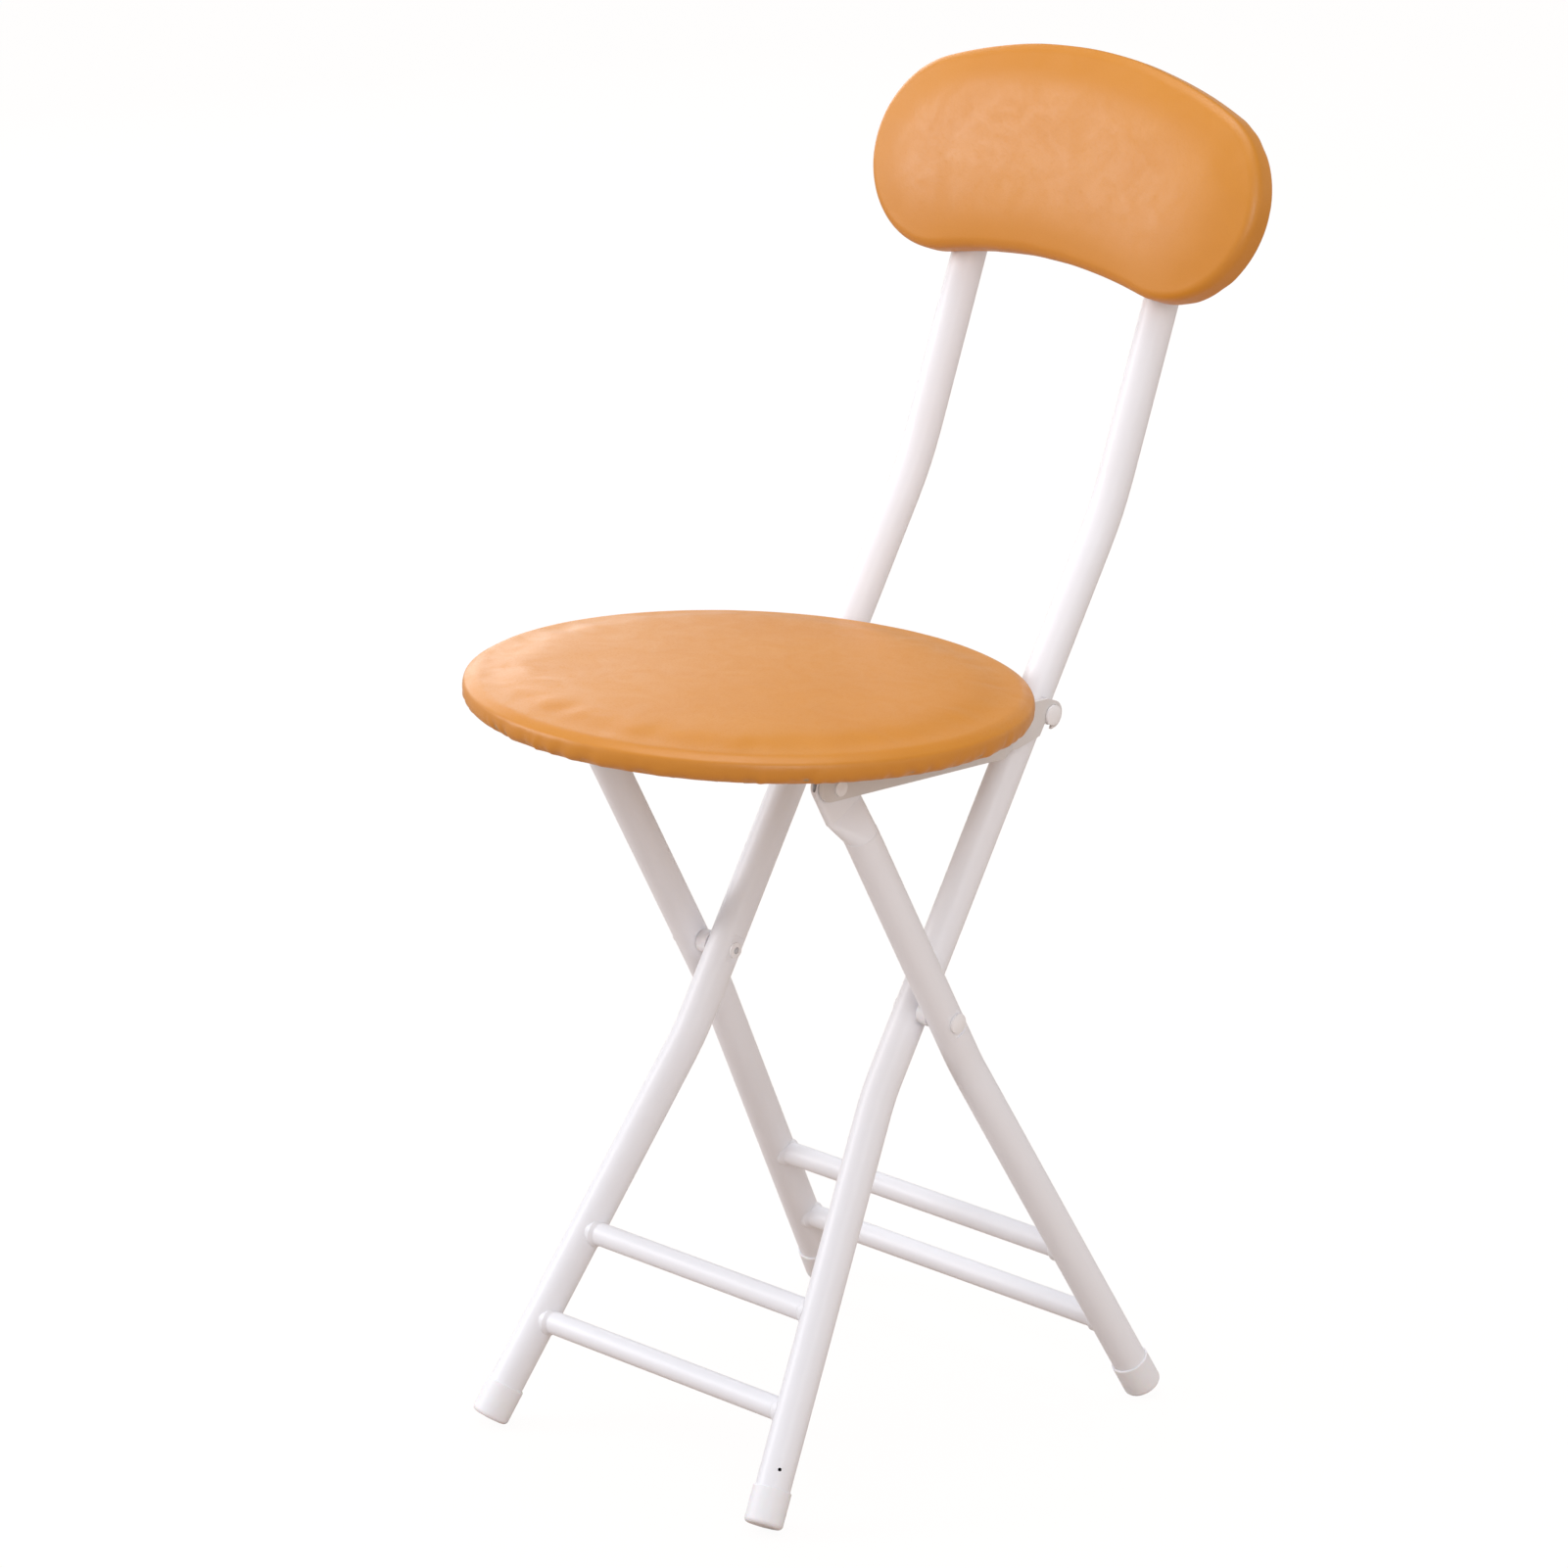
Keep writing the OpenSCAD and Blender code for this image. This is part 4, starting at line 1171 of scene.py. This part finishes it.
    def inside(self) -> list[tuple[float, float]]:
        """Lays out the rings from the hem back along the board.

        Returns:
            Each ring's step out from the rim, and its height.
        """
        s = self.sizes
        edge = s.front_round - s.board_inset + s.gap
        return [(s.front_round - s.hem, -s.gap), (0.0, -s.gap), (edge, -s.gap),
                (edge, s.board_middle), (edge, s.board_top + s.gap)]

    def build(self) -> bpy.types.Object:
        """Makes the leather pad and gives it its finish.

        Returns:
            The backrest's pad.
        """
        pad = Pad("backrest_pad", self.place, self.plan(), self.crown, self.outside(),
                  self.inside(), self.sizes.board_top + self.sizes.gap)
        piece = pad.build(self.SWELL, self.PLEATS)
        piece.data.materials.append(self.book.material(LEATHER))
        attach(piece, Body.BACK_FRAME.value)
        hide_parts("backrest_cover", "backrest_foam")
        return piece


def hem_rings(sizes: SeatSizes | RestSizes, edge: float) -> list[tuple[float, float]]:
    """Lays out a hem's rings.

    Args:
        sizes: The pad's sizes.
        edge: Place of the pad's edge.

    Returns:
        Each ring's place and height, from the edge inwards.
    """
    inner = edge - sizes.hem
    return [(edge - sizes.hem_fold, -sizes.cloth), (inner + sizes.hem_round, -sizes.cloth),
            (inner, sizes.hem_round - sizes.cloth)]


def disc_point(a: float, b: float) -> tuple[float, float]:
    """Maps a point of the square from -1 to 1 onto the unit disc, ring for ring.

    Args:
        a: The point's place across the square.
        b: Its place up the square.

    Returns:
        Its place on the disc.
    """
    if a == 0.0 and b == 0.0:
        return (0.0, 0.0)
    if abs(a) > abs(b):
        radius, angle = a, (math.pi / 4) * (b / a)
    else:
        radius, angle = b, math.pi / 2 - (math.pi / 4) * (a / b)
    return (radius * math.cos(angle), radius * math.sin(angle))


def grid_quads(wide: int, high: int) -> list[tuple[int, ...]]:
    """Lists the faces of a grid.

    Args:
        wide: How many squares it is wide.
        high: How many squares it is high.

    Returns:
        The four points of each face.
    """
    row = wide + 1
    return [(j * row + i, j * row + i + 1, (j + 1) * row + i + 1, (j + 1) * row + i)
            for j in range(high) for i in range(wide)]


def grid_rim(wide: int, high: int) -> list[int]:
    """Lists the points round a grid's edge.

    Args:
        wide: How many squares it is wide.
        high: How many squares it is high.

    Returns:
        The points, in order.
    """
    row = wide + 1
    return ([i for i in range(wide)]
            + [j * row + wide for j in range(high)]
            + [high * row + i for i in range(wide, 0, -1)]
            + [j * row for j in range(high, 0, -1)])


# Fasteners


class GeometryTree(TreeBuilder):
    """A Geometry Nodes tree that sets out copies of one pattern and realizes them."""

    def __init__(self, name: str, inputs: dict[str, tuple[str, object]]) -> None:
        """Makes the tree.

        Args:
            name: Name of the tree.
            inputs: Kind and default of each input, by name, besides the geometry, the pattern
                that is copied, the random seed and the material.
        """
        super().__init__(name, "GeometryNodeTree", {
            "Geometry": ("Geometry", None), "Pattern": ("Object", None), **inputs,
            "Seed": ("Int", 0), "Material": ("Material", None)}, {"Geometry": "Geometry"})

    def chance(self, low: object, high: object) -> bpy.types.NodeSocket:
        """Returns a random value for each copy, between two values."""
        return self.node("FunctionNodeRandomValue", {
            2: low, 3: high, "Seed": self.given("Seed")}, data_type="FLOAT").outputs[1]

    def close(self, points: bpy.types.NodeSocket, turn: bpy.types.NodeSocket) -> None:
        """Sets the pattern on points, with its material, and ends the tree.

        Args:
            points: The points.
            turn: How far each copy is turned about Z.
        """
        shape = self.node("GeometryNodeObjectInfo", {"Object": self.given("Pattern")},
                          transform_space="ORIGINAL")
        copies = self.node("GeometryNodeInstanceOnPoints", {
            "Points": points, "Instance": shape.outputs["Geometry"],
            "Rotation": self.vector(z=turn)})
        real = self.node("GeometryNodeRealizeInstances", {"Geometry": copies.outputs[0]})
        dressed = self.node("GeometryNodeSetMaterial", {
            "Geometry": real.outputs[0], "Material": self.given("Material")})
        self.tree.links.new(dressed.outputs[0], self.sink.inputs[0])

    def run(self, name: str, values: dict[str, object], place: Matrix) -> bpy.types.Object:
        """Runs the tree and keeps its result as a plain mesh.

        Args:
            name: Name of the piece.
            values: Value of each input, by name.
            place: Frame that the tree works in.

        Returns:
            The piece, at the origin.
        """
        host = mesh_object(name, [(0.0, 0.0, 0.0)], [])
        modifier = host.modifiers.new("Repeat", "NODES")
        modifier.node_group = self.tree
        for label, value in values.items():
            modifier[self.names[label]] = value
        piece = baked(host)
        piece.data.transform(place)
        piece.data.update()
        return piece


def fastener_rows() -> GeometryTree:
    """Builds the tree for two mirrored rows of screws or bolts, each turned at random.

    Returns:
        The tree.
    """
    grow = GeometryTree("FastenerRows", {
        "Half Spread": ("Float", 0.08), "First": ("Float", 0.0), "Step": ("Float", 0.05),
        "Count": ("Int", 3), "Height": ("Float", 0.0)})
    both = grow.node("GeometryNodeJoinGeometry")
    for side in (-1.0, 1.0):
        across = grow.math("MULTIPLY", grow.given("Half Spread"), side)
        row = grow.node("GeometryNodeMeshLine", {
            "Count": grow.given("Count"),
            "Start Location": grow.vector(across, grow.given("First"), grow.given("Height")),
            "Offset": grow.vector(y=grow.given("Step"))}, mode="OFFSET")
        grow.tree.links.new(row.outputs[0], both.inputs[0])
    grow.close(both.outputs[0], grow.chance(0.0, math.tau / 4))
    return grow


def staple_ring() -> GeometryTree:
    """Builds the tree for a ring of staples, each a little out of line.

    Returns:
        The tree.
    """
    grow = GeometryTree("StapleRing", {
        "Radius": ("Float", 0.14), "Count": ("Int", 36), "Height": ("Float", 0.0),
        "Sway": ("Float", 0.25)})
    ring = grow.node("GeometryNodeMeshCircle", {
        "Vertices": grow.given("Count"), "Radius": grow.given("Radius")})
    raised = grow.node("GeometryNodeTransform", {
        "Geometry": ring.outputs[0], "Translation": grow.vector(z=grow.given("Height"))})
    number = grow.node("GeometryNodeInputIndex").outputs[0]
    each = grow.math("DIVIDE", math.tau, grow.given("Count"))
    along = grow.math("MULTIPLY_ADD", number, each, math.tau / 4)
    low = grow.math("MULTIPLY", grow.given("Sway"), -1.0)
    grow.close(raised.outputs[0], grow.math("ADD", along, grow.chance(low, grow.given("Sway"))))
    return grow


def pan_head(name: str, head: HeadSizes) -> bpy.types.Object:
    """Makes a pan-headed fastener with a cross recess, its head below z = 0.

    Args:
        name: Name of the object.
        head: Sizes of its head and shank.

    Returns:
        The fastener, standing at the origin.
    """
    circle = [math.tau * k / head.SPOKES for k in range(head.SPOKES)]
    points: list[tuple[float, float, float]] = []
    for reach, share in head.PROFILE_SHARES:
        for angle in circle:
            x, y = reach * math.cos(angle), reach * math.sin(angle)
            points.append((head.radius * x, head.radius * y,
                           head.height * (recess_share(x, y) - share)))
    for z in (0.0, head.shank_length):
        points += [(head.shank_radius * math.cos(a), head.shank_radius * math.sin(a), z)
                   for a in circle]
    points.append((0.0, 0.0, head.height * (recess_share(0.0, 0.0) - 1.0)))
    count = head.SPOKES
    faces: list[tuple[int, ...]] = []
    for k in range(count):
        j = (k + 1) % count
        faces.append((len(points) - 1, j, k))
        faces += [(r + k, r + j, r + count + j, r + count + k)
                  for r in range(0, count * (len(head.PROFILE_SHARES) + 1), count)]
    faces.append(tuple(range(len(points) - 1 - count, len(points) - 1)))
    made = mesh_object(name, points, faces)
    face_outwards(made)
    return made


def recess_share(x: float, y: float) -> float:
    """Works out how deep the cross recess is at a place on the head.

    Args:
        x: The place's x, as a share of the head's radius.
        y: Its y, as the same.

    Returns:
        The depth, as a share of the head's height.
    """
    arm, half_width, wall = 0.56, 0.15, 0.06
    deepest, dish = 0.62, 0.45
    along, across = max(abs(x), abs(y)), min(abs(x), abs(y))
    if along > arm or across > half_width:
        return 0.0
    slope = min(1.0, (half_width - across) / wall)
    return deepest * slope * (1.0 - dish * math.hypot(x, y) / arm)


def staple(name: str, sizes: StapleSizes) -> bpy.types.Object:
    """Makes one staple's crown, a wire with bent ends, lying below z = 0.

    Args:
        name: Name of the object.
        sizes: Sizes of the staple.

    Returns:
        The staple, along X at the origin.
    """
    half, wire = sizes.width / 2, sizes.wire / 2
    flat = sizes.wire * sizes.flat_share
    path = [(-half, sizes.tip_up), (-half, sizes.bend_down), (-half + sizes.bend_in, -wire),
            (half - sizes.bend_in, -wire), (half, sizes.bend_down), (half, sizes.tip_up)]
    points: list[tuple[float, float, float]] = []
    for x, z in path:
        points += [(x, -wire, z), (x, wire, z), (x, wire, z - flat), (x, -wire, z - flat)]
    last = len(points) - 4
    faces: list[tuple[int, ...]] = [(3, 2, 1, 0), (last, last + 1, last + 2, last + 3)]
    for a in range(0, last, 4):
        faces += [(a + k, a + (k + 1) % 4, a + 4 + (k + 1) % 4, a + 4 + k) for k in range(4)]
    made = mesh_object(name, points, faces)
    face_outwards(made)
    return made


class Fasteners:
    """Screws under the seat, bolts behind the backrest and staples in the hem."""

    def __init__(self, frames: ChairFrames, book: FinishBook) -> None:
        """Keeps the chair's frames, the metal and the tree for rows.

        Args:
            frames: The chair's frames.
            book: The finishes.
        """
        self.frames = frames
        self.metal = book.material(ZINC)
        self.rows = fastener_rows()

    def row_set(self, name: str, row: FastenerRow, place: Matrix) -> bpy.types.Object:
        """Makes two mirrored rows of screws or bolts.

        Args:
            name: Name of the piece.
            row: Places and sizes of the fasteners.
            place: Frame that the rows are in.

        Returns:
            The piece, at the origin.
        """
        pattern = pan_head(f"{name}_pattern", row.head)
        piece = self.rows.run(name, {
            "Pattern": pattern, "Half Spread": row.half_spread * MM, "First": row.first * MM,
            "Step": row.step * MM, "Count": row.count, "Height": row.height * MM,
            "Seed": row.seed, "Material": self.metal}, place)
        bpy.data.objects.remove(pattern)
        return piece

    def staple_set(self, name: str, sizes: StapleSizes, place: Matrix) -> bpy.types.Object:
        """Makes the ring of staples.

        Args:
            name: Name of the piece.
            sizes: Places and sizes of the staples.
            place: Frame that the ring is in.

        Returns:
            The piece, at the origin.
        """
        pattern = staple(f"{name}_pattern", sizes)
        piece = staple_ring().run(name, {
            "Pattern": pattern, "Radius": sizes.ring * MM, "Count": sizes.count,
            "Height": sizes.height * MM, "Sway": sizes.sway, "Seed": sizes.seed,
            "Material": self.metal}, place)
        bpy.data.objects.remove(pattern)
        return piece

    def build(self) -> list[bpy.types.Object]:
        """Makes the three sets of fasteners.

        Returns:
            The pieces.
        """
        screws = self.row_set("seat_screw_set", SEAT_SCREWS, self.frames.seat())
        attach(screws, Body.SEAT.value)
        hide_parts("seat_screws")
        bolts = self.row_set("backrest_bolt_set", REST_BOLTS, self.frames.rest())
        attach(bolts, Body.BACK_FRAME.value)
        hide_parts("backrest_bolts")
        staples = self.staple_set("hem_staples", StapleSizes(), self.frames.seat())
        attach(staples, Body.SEAT.value)
        return [screws, bolts, staples]


# Frame finishes


class FrameDresser:
    """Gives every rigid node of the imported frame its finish."""

    FINISHES: dict[str, Finish] = {
        "upright_tube": WHITE_COAT, "front_rung": WHITE_COAT, "leg_tube": WHITE_COAT,
        "rear_rung": WHITE_COAT, "foot_cap": WHITE_PLASTIC, "upright_plug": WHITE_PLASTIC,
        "hinge_washer": WHITE_PLASTIC, "seat_rail": SHADED_RAIL_COAT, "pivot_rivet": LIT_RIVET_COAT,
        "hook_pin": LIT_RIVET_COAT, "hinge_rivet": LIT_RIVET_COAT, "pivot_spacer": WHITE_PLASTIC,
        "backrest_board": PLYWOOD, "seat_board": PLYWOOD, "backrest_back_panel": PANEL,
        "backrest_tee_nuts": ZINC, "backrest_bolts": ZINC, "seat_screws": ZINC,
        "seat_cover": LEATHER, "backrest_cover": LEATHER, "seat_foam": FOAM,
        "backrest_foam": FOAM,
    }

    def __init__(self, book: FinishBook) -> None:
        """Keeps the finishes."""
        self.book = book

    def dress(self) -> int:
        """Sets each node's material.

        Returns:
            How many nodes were dressed.
        """
        for name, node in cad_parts.items():
            finish = next(f for start, f in self.FINISHES.items() if name.startswith(start))
            material = self.book.material(finish)
            node.data.materials.clear()
            node.data.materials.append(material)
            LOG.info("%s: %s", name, finish.name)
        return len(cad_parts)


# Studio


@dataclass(frozen=True)
class CameraSizes:
    """The camera's place, aim and lens, as the photograph was taken."""

    place: tuple[float, float, float] = (2.51069, -2.65661, 1.56289)
    azimuth: float = 43.82
    elevation: float = 18.35
    roll: float = 0.18
    lens: float = 166.02
    sensor: float = 36.0
    far: float = 60.0


@dataclass(frozen=True)
class Lamp:
    """A soft box: its place, the point it faces, its size, power and colour."""

    name: str
    place: tuple[float, float, float]
    aim: tuple[float, float, float]
    size: tuple[float, float]
    power: float
    colour: Colour


class Studio:
    """The floor, the world, the soft boxes and the camera.

    WORLD_TONES are the world's light along WORLD_WAY, from behind it to ahead of it. WALL is what
    gloss sees of the studio's wall, by height, and SEEN and GLOSSY are how white the floor is to
    the camera and to gloss.
    """

    FLOOR_REACH, FLOOR_AT = 14000.0, -0.6
    FLOOR_TONES = ((0.46, 0.37, 0.31), (0.49, 0.4, 0.34))
    FLOOR_GLOW = 1.1
    SEEN, GLOSSY = 0.86, 0.15
    WORLD_WAY = (-0.5, -0.2, 0.84)
    WORLD_REACH = 0.9
    WORLD_TONES = ((0.0, (0.56, 0.44, 0.34)), (0.45, (0.7, 0.655, 0.63)), (1.0, (0.98, 1.0, 1.07)))
    WORLD_POWER = 0.76
    WALL = ((0.0, (0.95,)), (0.1, (0.78,)), (0.26, (0.4,)), (0.42, (0.16,)))
    LAMPS = (
        Lamp("key_box", (-2.4, -1.9, 1.65), (0.0, 0.0, 0.45), (1.4, 1.7), 45.0, (0.97, 0.98, 1.0)),
        Lamp("rim_box", (-2.6, 1.15, 1.2), (0.0, 0.0, 0.45), (1.9, 1.5), 22.0, (0.95, 0.97, 1.0)),
        Lamp("view_box", (2.8, -1.6, 1.95), (0.0, 0.0, 0.4), (1.8, 1.8), 36.0, (0.96, 0.97, 1.0)),
        Lamp("top_box", (-0.3, 0.1, 3.1), (0.0, 0.0, 0.4), (1.6, 1.6), 25.0, (1.0, 1.0, 1.0)),
        Lamp("warm_box", (3.0, 0.9, 0.9), (0.0, 0.0, 0.35), (1.4, 1.6), 4.0, (1.0, 0.8, 0.62)),
    )

    def __init__(self, camera: CameraSizes) -> None:
        """Keeps the camera's sizes."""
        self.camera = camera

    def add_camera(self) -> bpy.types.Object:
        """Makes the camera at the photograph's viewpoint.

        Returns:
            The camera.
        """
        c = self.camera
        az, el, roll = (math.radians(v) for v in (c.azimuth, c.elevation, c.roll))
        back = Vector((math.sin(az) * math.cos(el), -math.cos(az) * math.cos(el), math.sin(el)))
        right = Vector((math.cos(az), math.sin(az), 0.0))
        up = back.cross(right)
        level = right * math.cos(roll) + up * math.sin(roll)
        upright = up * math.cos(roll) - right * math.sin(roll)
        data = bpy.data.cameras.new("photo_camera")
        data.lens = c.lens
        data.sensor_width = c.sensor
        data.sensor_fit = "HORIZONTAL"
        data.clip_end = c.far
        made = bpy.data.objects.new("photo_camera", data)
        bpy.context.scene.collection.objects.link(made)
        turn = Matrix((level, upright, back)).transposed()
        made.matrix_world = Matrix.Translation(c.place) @ turn.to_4x4()
        bpy.context.scene.camera = made
        return made

    def add_floor(self) -> bpy.types.Object:
        """Makes the pale floor, white to the camera and to gloss, that keeps a soft shadow.

        Returns:
            The floor.
        """
        reach = self.FLOOR_REACH
        corners = ((-reach, -reach), (reach, -reach), (reach, reach), (-reach, reach))
        floor = mesh_object("studio_floor", [(*corner, self.FLOOR_AT) for corner in corners],
                            [(0, 1, 2, 3)])
        material = bpy.data.materials.new("floor_white")
        material.use_nodes = True
        tree = material.node_tree
        shader = tree.nodes["Principled BSDF"]
        output = tree.nodes["Material Output"]
        noise = add_node(tree, "ShaderNodeTexNoise", {"Scale": 3.0, "Detail": 3.0})
        place = add_node(tree, "ShaderNodeTexCoord")
        tree.links.new(place.outputs["Object"], noise.inputs["Vector"])
        tone = add_node(tree, "ShaderNodeMix", {
            0: noise.outputs["Fac"], 6: opaque(self.FLOOR_TONES[0]),
            7: opaque(self.FLOOR_TONES[1])}, data_type="RGBA")
        tree.links.new(tone.outputs[2], shader.inputs["Base Color"])
        shader.inputs["Roughness"].default_value = 0.9
        shader.inputs["Specular IOR Level"].default_value = 0.0
        ray = add_node(tree, "ShaderNodeLightPath")
        gloss = add_node(tree, "ShaderNodeMath", {0: ray.outputs["Is Glossy Ray"], 1: self.GLOSSY},
                         operation="MULTIPLY")
        share = add_node(tree, "ShaderNodeMath", {
            0: ray.outputs["Is Camera Ray"], 1: self.SEEN, 2: gloss.outputs[0]},
            operation="MULTIPLY_ADD")
        white = add_node(tree, "ShaderNodeEmission", {"Color": (1.0, 1.0, 1.0, 1.0),
                                                      "Strength": self.FLOOR_GLOW})
        mix = add_node(tree, "ShaderNodeMixShader", {
            0: share.outputs[0], 1: shader.outputs[0], 2: white.outputs[0]})
        tree.links.new(mix.outputs[0], output.inputs["Surface"])
        floor.data.materials.append(material)
        return floor

    def add_world(self) -> None:
        """Makes the world: soft light, cooler from the left, white where it is seen.

        Gloss sees a white wall whose light fades towards the ceiling.
        """
        world = bpy.data.worlds.new("studio_world")
        bpy.context.scene.world = world
        world.use_nodes = True
        tree = world.node_tree
        tree.nodes.clear()
        place = add_node(tree, "ShaderNodeTexCoord")
        side = add_node(tree, "ShaderNodeVectorMath", {
            0: place.outputs["Generated"], 1: self.WORLD_WAY}, operation="DOT_PRODUCT")
        share = add_node(tree, "ShaderNodeMapRange", {
            "Value": side.outputs["Value"], "From Min": -self.WORLD_REACH,
            "From Max": self.WORLD_REACH})
        ramp = add_node(tree, "ShaderNodeValToRGB", {0: share.outputs[0]})
        set_ramp(ramp, self.WORLD_TONES)
        soft = add_node(tree, "ShaderNodeBackground", {
            "Color": ramp.outputs[0], "Strength": self.WORLD_POWER})
        height = add_node(tree, "ShaderNodeSeparateXYZ", {0: place.outputs["Generated"]})
        wall = add_node(tree, "ShaderNodeValToRGB", {0: height.outputs["Z"]})
        set_ramp(wall, self.WALL)
        ray = add_node(tree, "ShaderNodeLightPath")
        tone = add_node(tree, "ShaderNodeMix", {
            0: ray.outputs["Is Glossy Ray"], 6: (1.0, 1.0, 1.0, 1.0), 7: wall.outputs[0]},
            data_type="RGBA")
        seen = add_node(tree, "ShaderNodeBackground", {"Color": tone.outputs[2], "Strength": 1.0})
        first = add_node(tree, "ShaderNodeMath", {
            0: ray.outputs["Is Camera Ray"], 1: ray.outputs["Is Glossy Ray"]}, operation="MAXIMUM")
        second = add_node(tree, "ShaderNodeMath", {
            0: first.outputs[0], 1: ray.outputs["Is Transmission Ray"]}, operation="MAXIMUM")
        mix = add_node(tree, "ShaderNodeMixShader", {
            0: second.outputs[0], 1: soft.outputs[0], 2: seen.outputs[0]})
        output = add_node(tree, "ShaderNodeOutputWorld")
        tree.links.new(mix.outputs[0], output.inputs["Surface"])

    def add_lamps(self) -> None:
        """Makes the soft boxes."""
        for lamp in self.LAMPS:
            data = bpy.data.lights.new(lamp.name, "AREA")
            data.shape = "RECTANGLE"
            data.size, data.size_y = lamp.size
            data.energy = lamp.power
            data.color = lamp.colour
            made = bpy.data.objects.new(lamp.name, data)
            made.location = lamp.place
            way = Vector(lamp.aim) - Vector(lamp.place)
            made.rotation_mode = "QUATERNION"
            made.rotation_quaternion = way.to_track_quat("-Z", "Y")
            bpy.context.scene.collection.objects.link(made)

    def build(self) -> None:
        """Sets up everything round the chair."""
        bpy.context.scene.view_settings.view_transform = "Standard"
        self.add_camera()
        self.add_floor()
        self.add_world()
        self.add_lamps()


def main() -> None:
    """Builds the chair's pieces in order and reports each."""
    logging.basicConfig(level=logging.INFO, format="%(name)s: %(message)s")
    frames = ChairFrames()
    book = FinishBook()
    Studio(CameraSizes()).build()
    LOG.info("%d nodes dressed", FrameDresser(book).dress())
    pieces = [SeatPad(SeatSizes(), frames.seat(), book).build(),
              RestPad(RestSizes(), frames.rest(), book).build(),
              *Fasteners(frames, book).build()]
    for piece in pieces:
        piece.data.calc_loop_triangles()
        LOG.info("%s: %d triangles", piece.name, len(piece.data.loop_triangles))


if __name__ == "__main__":
    main()
